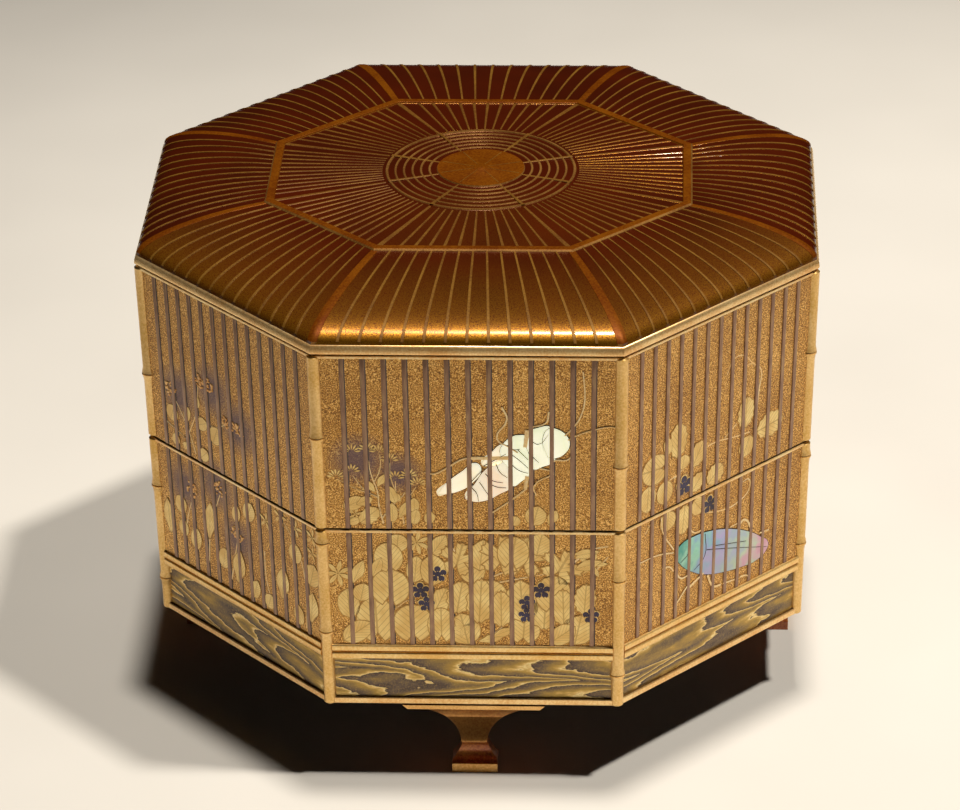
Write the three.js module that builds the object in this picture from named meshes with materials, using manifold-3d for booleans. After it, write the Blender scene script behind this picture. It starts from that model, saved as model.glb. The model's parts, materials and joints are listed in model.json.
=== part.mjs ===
// Octagonal lacquer sweetmeat box made like an insect cage: a low domed lid on two stacked tiers,
// with barred walls, bamboo corner posts, a grained board round the foot and four bracket feet.
// Millimetres, +Z up, front face towards -Y, origin on the ground under the middle of the box.
import * as THREE from 'three';
import { mergeVertices } from 'three/addons/utils/BufferGeometryUtils.js';
import Module from 'manifold-3d';

const wasm = await Module();
wasm.setup();

// Plan of the box at the lid's edge
const HALF_DEPTH = 55.4;
const HALF_WIDTH = 57.1;
const FRONT_HALF_SIDE = 25.2;
const SIDE_HALF_SIDE = 22.7;
const BASE_SHRINK = 0.967;

// Heights of the pieces, from the ground up
const FOOT_HEIGHT = 14.2;
const LOWER_TIER_HEIGHT = 33.75;
const UPPER_TIER_HEIGHT = 32.15;
const STRIP_HEIGHT = 1.7;
const SLOPE_RISE = 4.9;
const CROWN_RISE = 1.0;
const GAP = 0.3;

// Walls, floors and the lips that the pieces stack on
const WALL = 2.8;
const FLOOR = 2.6;
const LID_SKIN = 2.3;
const LIP_HEIGHT = 1.8;
const LIP_THICKNESS = 1.2;
const EDGE_BEVEL = 0.5;
const FACE_INSET = 0.5;

// Bars and bamboo posts
const BARS = 13;
const BAR_WIDTH = 0.8;
const BAR_RELIEF = 0.35;
const BAR_END = 0.25;
const POST_REACH = 1.25;
const POST_RADIUS = 0.72;
const POST_SIDE_ANGLE = 40;
const NODE_INSET = 0.25;
const NODE_RADIUS = 1.0;
const NODE_SWELL = 0.3;
const NODE_HEIGHT = 1.8;
const NODE_SIDES = 6;
const EVEN_NODES = [14.1, 31.2, 51.0];
const ODD_NODES = [6.1, 24.4, 46.0];

// Foot zone of the lower tier: bottom strip, recessed board, two rails
const BOTTOM_STRIP = 1.2;
const BOARD_HEIGHT = 7.65;
const BOARD_RECESS = 0.35;
const BOARD_STEP = 0.05;
const RAIL_HEIGHT = 1.45;
const RAIL_RELIEF = 0.45;

// Lid carving
const INNER_HALF_DEPTH = 29.5;
const INNER_HALF_WIDTH = 34.6;
const INNER_FRONT_HALF_SIDE = 15.9;
const INNER_SIDE_HALF_SIDE = 11.7;
const BAND_WIDTH = 1.7;
const BAND_RELIEF = 0.35;
const BAND_BEVEL = 0.2;
const HIP_REACH = 1.15;
const RIB_WIDTH = 0.9;
const RIB_RELIEF = 0.35;
const SLOPE_STEPS = [0.985, 0.8, 0.42, 0.0];
const CEILING_STEPS = [0.5, 0.9];
const CEILING_REACH = 0.97;
const SPOKE_RIBS = 11;
const SPOKE_REACH = 0.6;
const SPOKE_RELIEF = 0.25;
const RING_RADIUS = 16.0;
const RING_COUNT = 6;
const RING_PITCH = 1.45;
const RING_RELIEF = 0.22;
const RING_SIDES = 24;
const DISC_RADIUS = 7.4;

// Feet: widths across, insets from the plate's outer edge, heights from the ground
const FOOT_PLATE_WIDTH = 24.0;
const FOOT_PLATE_EDGE = 1.2;
const FOOT_PLATE_SLANT = 0.9;
const FOOT_DEPTH = 9.0;
const FOOT_INSET = 0.4;
const NECK_WIDTH = 4.2;
const NECK_TOP = 5.6;
const NECK_INSET = 3.2;
const NECK_DEPTH = 2.2;
const BRACKET_HALF_WIDTH = 4.0;
const BRACKET_MIDDLE = 10.0;
const KNEE_INSET = 0.5;
const KNEE_HEIGHT = 6.4;
const COVE_INSET = 2.6;
const COVE_HEIGHT = 10.2;
const TOE_WIDTH = 7.7;
const TOE_HEIGHT = 1.7;
const TOE_INSET = 1.2;
const TOE_DEPTH = 4.8;
const VIEW_DEPTH = 30;

const lowerBase = FOOT_HEIGHT;
const lowerTop = lowerBase + LOWER_TIER_HEIGHT;
const upperBase = lowerTop + GAP;
const upperTop = upperBase + UPPER_TIER_HEIGHT;
const lidBase = upperTop + GAP;
const stripTop = lidBase + STRIP_HEIGHT;
const slopeTop = stripTop + SLOPE_RISE;
const crownTop = slopeTop + CROWN_RISE;

// Corners of an octagon with parallel front and back, anticlockwise from the front left one
function octagonCorners(halfDepth, halfWidth, frontHalf, sideHalf) {
  return [
    [-frontHalf, -halfDepth],
    [frontHalf, -halfDepth],
    [halfWidth, -sideHalf],
    [halfWidth, sideHalf],
    [frontHalf, halfDepth],
    [-frontHalf, halfDepth],
    [-halfWidth, sideHalf],
    [-halfWidth, -sideHalf],
  ].map(([x, y]) => new THREE.Vector2(x, y));
}

// The same octagon with every face moved inwards by a distance
function insetCorners(corners, distance) {
  const count = corners.length;
  const lines = corners.map((corner, k) => {
    const along = corners[(k + 1) % count].clone().sub(corner).normalize();
    const inward = new THREE.Vector2(-along.y, along.x);
    return { start: corner.clone().addScaledVector(inward, distance), along };
  });
  return lines.map((line, k) => {
    const before = lines[(k + count - 1) % count];
    const offset = line.start.clone().sub(before.start);
    const reach = offset.cross(line.along) / before.along.cross(line.along);
    return before.start.clone().addScaledVector(before.along, reach);
  });
}

const edgeCorners = octagonCorners(HALF_DEPTH, HALF_WIDTH, FRONT_HALF_SIDE, SIDE_HALF_SIDE);
const innerCorners = octagonCorners(
  INNER_HALF_DEPTH, INNER_HALF_WIDTH, INNER_FRONT_HALF_SIDE, INNER_SIDE_HALF_SIDE,
);
const faceCorners = insetCorners(edgeCorners, FACE_INSET);
const FACES = edgeCorners.length;

// How much narrower the walls are at a height than at the lid's edge
function taper(z) {
  const share = (z - lowerBase) / (lidBase - lowerBase);
  return THREE.MathUtils.lerp(BASE_SHRINK, 1, THREE.MathUtils.clamp(share, 0, 1));
}

// A point of an outline: its place in plan, and its turn, which counts faces round the box
function outlinePoint(place, turn) {
  return { x: place.x, y: place.y, turn };
}

function plainOutline(corners) {
  return corners.map((corner, k) => outlinePoint(corner, k));
}

function lift(outline, z) {
  const narrow = taper(z);
  return outline.map((p) => ({ x: p.x * narrow, y: p.y * narrow, z, turn: p.turn }));
}

// A closed body from a stack of loops: from a point in the middle below, outwards, up, and in to a
// point in the middle above. Neighbouring loops may have different numbers of points.
function bodyFromLoops(startZ, loops, endZ) {
  const points = [];
  const triangles = [];
  const addPoint = (x, y, z) => {
    points.push(x, y, z);
    return points.length / 3 - 1;
  };
  const numbered = loops.map((loop) => loop.map((p) => ({ id: addPoint(p.x, p.y, p.z), turn: p.turn })));
  const start = addPoint(0, 0, startZ);
  const end = addPoint(0, 0, endZ);
  const turnAt = (loop, i) => loop[i % loop.length].turn + FACES * Math.floor(i / loop.length);
  const idAt = (loop, i) => loop[i % loop.length].id;
  for (let k = 0; k < numbered[0].length; k += 1) {
    triangles.push(start, idAt(numbered[0], k + 1), idAt(numbered[0], k));
  }
  for (let n = 0; n + 1 < numbered.length; n += 1) {
    const below = numbered[n];
    const above = numbered[n + 1];
    let i = 0;
    let j = 0;
    while (i < below.length || j < above.length) {
      const belowNext = i < below.length ? turnAt(below, i + 1) : Infinity;
      const aboveNext = j < above.length ? turnAt(above, j + 1) : Infinity;
      if (belowNext <= aboveNext) {
        triangles.push(idAt(below, i), idAt(below, i + 1), idAt(above, j));
        i += 1;
      } else {
        triangles.push(idAt(below, i), idAt(above, j + 1), idAt(above, j));
        j += 1;
      }
    }
  }
  const last = numbered[numbered.length - 1];
  for (let k = 0; k < last.length; k += 1) {
    triangles.push(idAt(last, k), idAt(last, k + 1), end);
  }
  const geometry = new THREE.BufferGeometry();
  geometry.setAttribute('position', new THREE.Float32BufferAttribute(points, 3));
  geometry.setIndex(triangles);
  return geometry;
}

// Joining and cutting closed bodies
function toSolid(geometry) {
  const bare = geometry.clone();
  bare.deleteAttribute('normal');
  bare.deleteAttribute('uv');
  const merged = mergeVertices(bare, 1e-4);
  return new wasm.Manifold(new wasm.Mesh({
    numProp: 3,
    vertProperties: new Float32Array(merged.attributes.position.array),
    triVerts: new Uint32Array(merged.index.array),
  }));
}

function toGeometry(solid) {
  const mesh = solid.getMesh();
  const geometry = new THREE.BufferGeometry();
  geometry.setAttribute('position', new THREE.Float32BufferAttribute(Array.from(mesh.vertProperties), 3));
  geometry.setIndex(Array.from(mesh.triVerts));
  return geometry;
}

// Outward direction of a corner post, seen in plan
function cornerOutward(k) {
  return edgeCorners[k].clone().sub(faceCorners[k]).normalize();
}

// A wall with a low rounded post on every corner, and bars between the posts where wanted
function wallOutline(withBars, faceMove = 0) {
  const corners = insetCorners(faceCorners, faceMove);
  const sideAngle = THREE.MathUtils.degToRad(POST_SIDE_ANGLE);
  const outline = [];
  for (let k = 0; k < FACES; k += 1) {
    const corner = faceCorners[k];
    const next = faceCorners[(k + 1) % FACES];
    const out = cornerOutward(k);
    const outNext = cornerOutward((k + 1) % FACES);
    const length = corner.distanceTo(next);
    const wallStart = corners[k];
    const wallEnd = corners[(k + 1) % FACES];
    const wallPoint = (distance, move = 0) => {
      const along = wallEnd.clone().sub(wallStart).normalize();
      const outward = new THREE.Vector2(along.y, -along.x);
      const share = distance / length;
      const place = wallStart.clone().lerp(wallEnd, share).addScaledVector(outward, move);
      return outlinePoint(place, k + share);
    };
    const postPoint = (centre, outward, angle, turn) => {
      const arm = outward.clone().rotateAround(new THREE.Vector2(), angle).multiplyScalar(POST_RADIUS);
      return outlinePoint(centre.clone().add(arm), turn);
    };
    const sideTurn = POST_REACH / length / 2;
    outline.push(postPoint(corner, out, sideAngle, k + sideTurn));
    outline.push(wallPoint(POST_REACH));
    if (withBars) {
      const run = length - 2 * POST_REACH;
      for (let bar = 1; bar <= BARS; bar += 1) {
        const middle = POST_REACH + (run * bar) / (BARS + 1);
        outline.push(wallPoint(middle - BAR_WIDTH / 2));
        outline.push(wallPoint(middle, BAR_RELIEF));
        outline.push(wallPoint(middle + BAR_WIDTH / 2));
      }
    }
    outline.push(wallPoint(length - POST_REACH));
    outline.push(postPoint(next, outNext, -sideAngle, k + 1 - sideTurn));
  }
  return outline;
}

// The swelling of a bamboo post at one of its nodes
function bambooNode(k, z) {
  const profile = [
    new THREE.Vector2(0, -NODE_HEIGHT / 2),
    new THREE.Vector2(NODE_RADIUS - NODE_SWELL, -NODE_HEIGHT / 2),
    new THREE.Vector2(NODE_RADIUS + NODE_SWELL, 0),
    new THREE.Vector2(NODE_RADIUS - NODE_SWELL, NODE_HEIGHT / 2),
    new THREE.Vector2(0, NODE_HEIGHT / 2),
  ];
  const geometry = new THREE.LatheGeometry(profile, NODE_SIDES);
  geometry.rotateX(Math.PI / 2);
  const centre = insetCorners(faceCorners, NODE_INSET)[k].clone().multiplyScalar(taper(z));
  geometry.translate(centre.x, centre.y, z);
  return toSolid(geometry);
}

function withBambooNodes(geometry, lowZ, highZ) {
  let solid = toSolid(geometry);
  for (let k = 0; k < FACES; k += 1) {
    const heights = k % 2 === 0 ? EVEN_NODES : ODD_NODES;
    heights
      .map((height) => lowerBase + height)
      .filter((z) => z > lowZ && z < highZ)
      .forEach((z) => {
        solid = solid.add(bambooNode(k, z));
      });
  }
  return toGeometry(solid);
}

// Loops of a tier's top edge: bevel, ledge, lip, then down inside to the floor
function tierTopLoops(topZ, floorZ) {
  const ledge = plainOutline(insetCorners(faceCorners, EDGE_BEVEL));
  const lipOuter = plainOutline(insetCorners(edgeCorners, WALL - LIP_THICKNESS));
  const inside = plainOutline(insetCorners(edgeCorners, WALL));
  return [
    lift(ledge, topZ),
    lift(lipOuter, topZ),
    lift(lipOuter, topZ + LIP_HEIGHT),
    lift(inside, topZ + LIP_HEIGHT),
    lift(inside, floorZ),
  ];
}

// The recess underneath, which drops over the lip of the tier below
function recessLoops(bottomZ, depth) {
  const recess = plainOutline(insetCorners(edgeCorners, WALL - LIP_THICKNESS - GAP));
  return [lift(recess, bottomZ + depth), lift(recess, bottomZ)];
}

function upperTier() {
  const depth = LIP_HEIGHT + GAP;
  const loops = [
    ...recessLoops(upperBase, depth),
    lift(wallOutline(true), upperBase),
    lift(wallOutline(true), upperTop - EDGE_BEVEL),
    ...tierTopLoops(upperTop, upperBase + depth + FLOOR),
  ];
  const walls = bodyFromLoops(upperBase + depth, loops, upperBase + depth + FLOOR);
  return withBambooNodes(walls, upperBase, upperTop);
}

function lowerTier() {
  const wall = (z, move) => lift(wallOutline(false, move), z);
  const boardBase = lowerBase + BOTTOM_STRIP;
  const boardTop = boardBase + BOARD_HEIGHT;
  const railLoops = [];
  for (let rail = 0; rail < 2; rail += 1) {
    const railBase = boardTop + rail * RAIL_HEIGHT;
    railLoops.push(wall(railBase + RAIL_HEIGHT / 2, -RAIL_RELIEF));
    railLoops.push(wall(railBase + RAIL_HEIGHT, 0));
  }
  const barsBase = boardTop + 2 * RAIL_HEIGHT;
  const loops = [
    wall(lowerBase, -BAR_RELIEF),
    wall(boardBase, -BAR_RELIEF),
    wall(boardBase + BOARD_STEP, BOARD_RECESS),
    wall(boardTop - BOARD_STEP, BOARD_RECESS),
    ...railLoops,
    lift(wallOutline(true), barsBase + BAR_END),
    lift(wallOutline(true), lowerTop - EDGE_BEVEL),
    ...tierTopLoops(lowerTop, lowerBase + FLOOR),
  ];
  const walls = bodyFromLoops(lowerBase, loops, lowerBase + FLOOR);
  return withBambooNodes(walls, lowerBase, lowerTop);
}

// Height of the lid's slope, from 0 at the inner band to 1 at the lid's edge
function slopeHeight(share) {
  return stripTop + SLOPE_RISE * Math.sqrt(1 - share * share);
}

// One loop of the ribbed slope, with the wide hip bands on the corners
function slopeLoop(share) {
  const outer = insetCorners(edgeCorners, EDGE_BEVEL);
  const loop = [];
  const baseZ = slopeHeight(share);
  const lean = (share * SLOPE_RISE) / (HALF_DEPTH - INNER_HALF_DEPTH) / Math.sqrt(1 - share * share);
  const upward = 1 / Math.hypot(1, lean);
  const outward = lean * upward;
  for (let k = 0; k < FACES; k += 1) {
    const start = innerCorners[k].clone().lerp(outer[k], share);
    const end = innerCorners[(k + 1) % FACES].clone().lerp(outer[(k + 1) % FACES], share);
    const along = end.clone().sub(start);
    const length = along.length();
    along.normalize();
    const away = new THREE.Vector2(along.y, -along.x);
    const push = (distance, relief) => {
      const place = start.clone().addScaledVector(along, distance).addScaledVector(away, relief * outward);
      loop.push({ x: place.x, y: place.y, z: baseZ + relief * upward });
    };
    push(0, RIB_RELIEF);
    push(HIP_REACH, RIB_RELIEF / 2);
    const run = length - 2 * HIP_REACH;
    const ribReach = Math.min(RIB_WIDTH, run / (BARS + 1) / 2) / 2;
    for (let rib = 1; rib <= BARS; rib += 1) {
      const middle = HIP_REACH + (run * rib) / (BARS + 1);
      push(middle - ribReach, 0);
      push(middle, RIB_RELIEF);
      push(middle + ribReach, 0);
    }
    push(length - HIP_REACH, RIB_RELIEF / 2);
  }
  return numberedTurns(loop);
}

// Turns counted by place in the list, so that ribs keep to their own edge from loop to loop
function numberedTurns(loop) {
  const perFace = loop.length / FACES;
  return loop.map((p, i) => ({ x: p.x, y: p.y, z: p.z, turn: i / perFace }));
}

function crownHeight(radius) {
  return crownTop - CROWN_RISE * (radius / INNER_HALF_DEPTH) ** 2;
}

// Where a turn meets the ring on the crown
function ringPoint(turn, radius, z) {
  const k = Math.floor(turn) % FACES;
  const place = innerCorners[k].clone().lerp(innerCorners[(k + 1) % FACES], turn - Math.floor(turn));
  place.setLength(radius);
  return { x: place.x, y: place.y, z, turn };
}

// One loop of the thin ribs that run from the band to the ring
function spokeLoop(corners, baseZ, toRing) {
  const loop = [];
  for (let k = 0; k < FACES; k += 1) {
    const start = corners[k];
    const end = corners[(k + 1) % FACES];
    const push = (share, relief) => {
      const place = start.clone().lerp(end, share);
      if (toRing) {
        place.setLength(RING_RADIUS + RING_PITCH / 2);
      }
      loop.push({ x: place.x, y: place.y, z: baseZ + relief });
    };
    const length = start.distanceTo(end);
    const spokeShare = SPOKE_REACH / length;
    push(0, SPOKE_RELIEF);
    push(spokeShare, SPOKE_RELIEF);
    const pitch = 1 / (SPOKE_RIBS + 1);
    for (let rib = 1; rib <= SPOKE_RIBS; rib += 1) {
      push(pitch * (rib - 0.5), 0);
      push(pitch * rib, SPOKE_RELIEF);
    }
    push(1 - pitch / 2, 0);
    push(1 - spokeShare, SPOKE_RELIEF);
  }
  return numberedTurns(loop);
}

// Concentric ridges round the flat middle disc
function ringLoops() {
  const circle = (radius, relief) => {
    const z = crownHeight(radius) + relief;
    const loop = [];
    for (let side = 0; side < RING_SIDES; side += 1) {
      loop.push(ringPoint((side * FACES) / RING_SIDES, radius, z));
    }
    return loop;
  };
  const loops = [];
  for (let ring = 0; ring < RING_COUNT; ring += 1) {
    const radius = RING_RADIUS - ring * RING_PITCH;
    loops.push(circle(radius, RING_RELIEF));
    loops.push(circle(radius - RING_PITCH / 2, 0));
  }
  loops.push(circle(DISC_RADIUS, RING_RELIEF));
  return loops;
}

function lid() {
  const flat = (corners, z) => plainOutline(corners).map((p) => ({ ...p, z }));
  const bandOuter = insetCorners(innerCorners, BAND_BEVEL);
  const bandInner = insetCorners(innerCorners, BAND_WIDTH - BAND_BEVEL);
  const crownEdge = insetCorners(innerCorners, BAND_WIDTH);
  const mouth = insetCorners(edgeCorners, WALL - LIP_THICKNESS - GAP);
  const ceilingAt = (share) => {
    const corners = innerCorners.map((corner, k) => corner.clone().lerp(mouth[k], share));
    return flat(corners, slopeHeight(share * CEILING_REACH) - LID_SKIN);
  };
  const ceilingZ = crownTop - LID_SKIN - CROWN_RISE;
  const loops = [
    flat(crownEdge, ceilingZ),
    ...CEILING_STEPS.map((share) => ceilingAt(share)),
    flat(mouth, lidBase + LIP_HEIGHT),
    flat(mouth, lidBase),
    flat(edgeCorners, lidBase),
    flat(edgeCorners, stripTop),
    ...SLOPE_STEPS.map((share) => slopeLoop(share)),
    flat(bandOuter, slopeTop + BAND_RELIEF),
    flat(bandInner, slopeTop + BAND_RELIEF),
    spokeLoop(crownEdge, slopeTop, false),
    spokeLoop(crownEdge, crownHeight(RING_RADIUS), true),
    ...ringLoops(),
  ];
  return bodyFromLoops(ceilingZ, loops, crownHeight(DISC_RADIUS) + RING_RELIEF);
}

// Front view of a foot: a plate with concave brackets down to the neck, and a spread toe
function footFrontShape() {
  const half = FOOT_PLATE_WIDTH / 2;
  const neck = NECK_WIDTH / 2;
  const toe = TOE_WIDTH / 2;
  const top = FOOT_HEIGHT - GAP;
  const plateBottom = top - FOOT_PLATE_EDGE;
  const neckMiddle = (TOE_HEIGHT + NECK_TOP) / 2;
  const bracketEnd = half - FOOT_PLATE_SLANT;
  const shape = new THREE.Shape();
  shape.moveTo(-toe, 0);
  shape.lineTo(toe, 0);
  shape.lineTo(toe, TOE_HEIGHT);
  shape.quadraticCurveTo(neck, neckMiddle, neck, NECK_TOP);
  shape.bezierCurveTo(
    neck, (NECK_TOP + plateBottom) / 2, BRACKET_HALF_WIDTH, BRACKET_MIDDLE, bracketEnd, plateBottom,
  );
  shape.lineTo(half, top);
  shape.lineTo(-half, top);
  shape.lineTo(-bracketEnd, plateBottom);
  shape.bezierCurveTo(
    -BRACKET_HALF_WIDTH, BRACKET_MIDDLE, -neck, (NECK_TOP + plateBottom) / 2, -neck, NECK_TOP,
  );
  shape.quadraticCurveTo(-neck, neckMiddle, -toe, TOE_HEIGHT);
  shape.closePath();
  return shape;
}

// Side view of a foot, outwards to the right: cove under the plate, knee, drawn-in neck and toe
function footSideShape() {
  const top = FOOT_HEIGHT - GAP;
  const plateBottom = top - FOOT_PLATE_EDGE;
  const neckMiddle = (TOE_HEIGHT + NECK_TOP) / 2;
  const heel = -TOE_INSET - TOE_DEPTH;
  const neckBack = -NECK_INSET - NECK_DEPTH;
  const shape = new THREE.Shape();
  shape.moveTo(heel, 0);
  shape.lineTo(-TOE_INSET, 0);
  shape.lineTo(-TOE_INSET, TOE_HEIGHT);
  shape.quadraticCurveTo(-NECK_INSET, TOE_HEIGHT, -NECK_INSET, neckMiddle);
  shape.quadraticCurveTo(-NECK_INSET, NECK_TOP, -KNEE_INSET, KNEE_HEIGHT);
  shape.quadraticCurveTo(-KNEE_INSET, KNEE_HEIGHT + KNEE_INSET, -COVE_INSET, COVE_HEIGHT);
  shape.quadraticCurveTo(-COVE_INSET, plateBottom, 0, plateBottom);
  shape.lineTo(0, top);
  shape.lineTo(-FOOT_DEPTH, top);
  shape.lineTo(-FOOT_DEPTH, plateBottom);
  shape.quadraticCurveTo(neckBack, plateBottom, neckBack, NECK_TOP);
  shape.quadraticCurveTo(neckBack, TOE_HEIGHT, heel, TOE_HEIGHT);
  shape.closePath();
  return shape;
}

// A foot is the common part of its front view and its side view, standing at the front face
function foot() {
  const views = { depth: VIEW_DEPTH, bevelEnabled: false, curveSegments: 3 };
  const front = new THREE.ExtrudeGeometry(footFrontShape(), views);
  front.rotateX(Math.PI / 2);
  front.translate(0, VIEW_DEPTH / 2, 0);
  const side = new THREE.ExtrudeGeometry(footSideShape(), views);
  side.rotateX(Math.PI / 2);
  side.rotateZ(-Math.PI / 2);
  side.translate(VIEW_DEPTH / 2, 0, 0);
  return toGeometry(toSolid(front).intersect(toSolid(side)));
}

function finish(color, roughness, metalness) {
  return new THREE.MeshStandardMaterial({ color, roughness, metalness });
}

function piece(name, geometry, material) {
  const mesh = new THREE.Mesh(geometry, material);
  mesh.name = name;
  return mesh;
}

// Four feet, one under the middle of the front, right, back and left faces
function addFeet(group) {
  const reachY = HALF_DEPTH * BASE_SHRINK - FOOT_INSET;
  const reachX = HALF_WIDTH * BASE_SHRINK - FOOT_INSET;
  const places = [
    ['foot_front', reachY, 0],
    ['foot_right', reachX, Math.PI / 2],
    ['foot_back', reachY, Math.PI],
    ['foot_left', reachX, -Math.PI / 2],
  ];
  places.forEach(([name, reach, angle]) => {
    const mesh = piece(name, foot(), finish(0x6b2f10, 0.35, 0.2));
    const arm = new THREE.Group();
    mesh.position.set(0, -reach, 0);
    arm.rotation.z = angle;
    arm.add(mesh);
    group.add(arm);
  });
}

const box = new THREE.Group();
box.add(piece('lid', lid(), finish(0x5a2c08, 0.3, 0.6)));
box.add(piece('upper_tier', upperTier(), finish(0x8a6a38, 0.45, 0.5)));
box.add(piece('lower_tier', lowerTier(), finish(0x8a6a38, 0.45, 0.5)));
addFeet(box);

export default box;
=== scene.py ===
# Octagonal gold-lacquer sweetmeat box made like an insect cage, with shell insects behind its bars.
import json
import math
import random

import bmesh
import bpy
from mathutils import Matrix, Vector

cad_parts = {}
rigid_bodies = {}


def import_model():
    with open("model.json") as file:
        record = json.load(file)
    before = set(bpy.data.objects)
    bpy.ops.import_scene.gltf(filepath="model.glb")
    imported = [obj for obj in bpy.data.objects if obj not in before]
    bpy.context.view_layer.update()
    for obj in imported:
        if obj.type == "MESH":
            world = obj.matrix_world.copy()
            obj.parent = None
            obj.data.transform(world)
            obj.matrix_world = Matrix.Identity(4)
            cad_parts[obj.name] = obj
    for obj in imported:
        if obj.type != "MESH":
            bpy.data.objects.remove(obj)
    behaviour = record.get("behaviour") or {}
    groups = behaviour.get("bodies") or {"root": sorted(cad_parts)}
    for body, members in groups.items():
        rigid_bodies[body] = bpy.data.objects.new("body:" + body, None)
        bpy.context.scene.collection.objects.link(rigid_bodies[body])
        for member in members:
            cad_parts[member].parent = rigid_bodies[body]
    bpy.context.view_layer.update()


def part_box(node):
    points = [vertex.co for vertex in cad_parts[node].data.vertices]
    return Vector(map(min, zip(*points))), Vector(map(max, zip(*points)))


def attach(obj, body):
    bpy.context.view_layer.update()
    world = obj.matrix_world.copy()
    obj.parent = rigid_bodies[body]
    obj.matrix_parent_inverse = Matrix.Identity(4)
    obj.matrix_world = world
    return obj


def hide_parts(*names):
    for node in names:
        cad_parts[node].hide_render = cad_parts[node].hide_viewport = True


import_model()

MM = 0.001
FACES = 8

# Heights read from the frame, in millimetres from the ground
LOWER_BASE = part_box("lower_tier")[0][2] / MM
LIP_HEIGHT = 1.8
LOWER_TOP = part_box("lower_tier")[1][2] / MM - LIP_HEIGHT
UPPER_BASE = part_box("upper_tier")[0][2] / MM
UPPER_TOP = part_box("upper_tier")[1][2] / MM - LIP_HEIGHT
LID_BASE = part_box("lid")[0][2] / MM
STRIP_HEIGHT = 1.7
SLOPE_RISE = 4.9
CROWN_RISE = 1.0
STRIP_TOP = LID_BASE + STRIP_HEIGHT
SLOPE_TOP = STRIP_TOP + SLOPE_RISE
CROWN_TOP = SLOPE_TOP + CROWN_RISE

# Plans are the front corner's x and y and the side corner's x and y, in millimetres
HALF_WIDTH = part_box("lid")[1][0] / MM
HALF_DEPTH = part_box("lid")[1][1] / MM
EDGE = (25.2, HALF_DEPTH, HALF_WIDTH, 22.7)
INNER = (16.4, 30.6, 36.0, 12.2)

# The walls draw in by this share towards the foot, by a lattice that is wider than the box
BASE_SHRINK = 0.967
CAGE_WIDTH = 160

# The trays: how far the faces lie behind the lid's edge, and the walls, lips and floors
FACE_INSET = 0.5
WALL = 2.8
LIP_THICKNESS = 1.2
LIP_GAP = 0.3
LIP_SOFT = 0.2
FLOOR = 2.6

# The bright strip along the top edge of each tier, a painted highlight where the edge would catch the light,
# and how far the upper tier closes the seam below it
EDGE_HEIGHT = 0.5
EDGE_ROUND = 0.12
EDGE_PROUD = 0.2
SEAM_CLOSE = 0.12

# Bars, posts, board and rails. A bar's shade is the dark line of painted shade beside it
BARS = 13
BAR_WIDTH = 0.78
BAR_SHADE = 0.17
BAR_RELIEF = 0.22
BAR_SOFT = 0.12
POST_REACH = 1.25
POST_RADIUS = 1.12
POST_INSET = 0.52
POST_SIDES = 20
EVEN_NODES = (14.1, 31.2, 51.0)
ODD_NODES = (6.1, 24.4, 46.0)
BOTTOM_STRIP = 1.2
STRIP_SOFT = 0.15
UNDERSIDE_INSET = 6
BOARD_TOP = 8.85
BOARD_RECESS = 0.35
RAIL_HEIGHT = 1.45
RAIL_DEPTH = 0.9
RAIL_SOFT = 0.35

# Section of a joint in the bamboo: height from its notch, and radius beyond that of the post
CANE_JOINT = (
    (-1.8, -0.04), (-0.7, 0.06), (-0.3, 0.26), (-0.12, 0.24), (-0.04, 0.02), (0.06, 0.02), (0.14, 0.2),
    (0.4, 0.16), (1.0, 0.0),
)

# Lid relief. The slopes are raised through shares of the way out, closer together where they curve more
SLOPE_SHARES = (0.0, 0.14, 0.28, 0.42, 0.55, 0.67, 0.77, 0.85, 0.91, 0.95, 0.98, 0.996)
SLOPE_COLUMNS = 101
HIP_COLUMNS = 2
RIB_PITCH = 7
RIB_RELIEF = 0.1
HIP_RELIEF = 0.06
RIB_SOFT = 0.07
RIM_BULGE = 0.42
CROWN_COLUMNS = 65
CROWN_PITCH = 5
CROWN_RELIEF = 0.08
CROWN_SOFT = 0.05
CROWN_UNDER = 2.0
BAND_WIDTH = 1.7
BAND_RELIEF = 0.35
BAND_EDGE = 0.3
BAND_SOFT = 0.15
RING_RADIUS = 16.0
RING_COUNT = 6
RING_PITCH = 1.45
RING_SIDES = 96
DISC_RADIUS = 7.4
SPOKE_WIDTH = 0.62
SPOKE_HEIGHT = 0.3
SPOKE_SOFT = 0.08
DISC_SPOKE_RADIUS = 4.1
DISC_SPOKE_SIZE = (0.32, 0.62)

# Half width and relief of the first ring and of the others
FIRST_RING = (0.26, 0.16)
OTHER_RINGS = (0.2, 0.1)

# Section of the rim, one even curve: in from the lid's edge, and up from its foot
RIM_CURVE = (
    (0.25, 0), (0.06, 0.12), (0, 0.28), (0.01, 0.55), (0.04, 0.8), (0.08, 1.02), (0.14, 1.22), (0.22, 1.4),
    (0.32, 1.54), (RIM_BULGE, 1.62), (RIM_BULGE + 0.1, 1.64), (RIM_BULGE + 0.2, 1.4),
)

# Section of the disc, from its edge to the pin in its middle: radius, and height above the rings' ground
DISC_CURVE = (
    (DISC_RADIUS + 0.12, 0), (DISC_RADIUS, 0.2), (DISC_RADIUS - 1.0, 0.22), (0.7, 0.22), (0.55, 0.3),
    (0.2, 0.3),
)

# Feet: half widths across, insets from the plate's outer edge, heights from the ground
FOOT_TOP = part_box("foot_front")[1][2] / MM
PLATE_HALF = 12.0
PLATE_EDGE = 0.8
PLATE_SLANT = 0.9
PLATE_DEPTH = 9.0
NECK_HALF = 2.1
NECK_TOP = 5.6
NECK_INSET = 3.2
NECK_BACK = 5.4
BRACKET_HALF = 4.0
BRACKET_MIDDLE = 10.0
KNEE_INSET = 0.5
KNEE_HEIGHT = 6.4
COVE_INSET = 2.6
COVE_HEIGHT = 10.2
TOE_HALF = 3.85
TOE_HEIGHT = 1.7
TOE_INSET = 1.2
TOE_BACK = 6.0
FOOT_SOFT = 0.22
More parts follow.
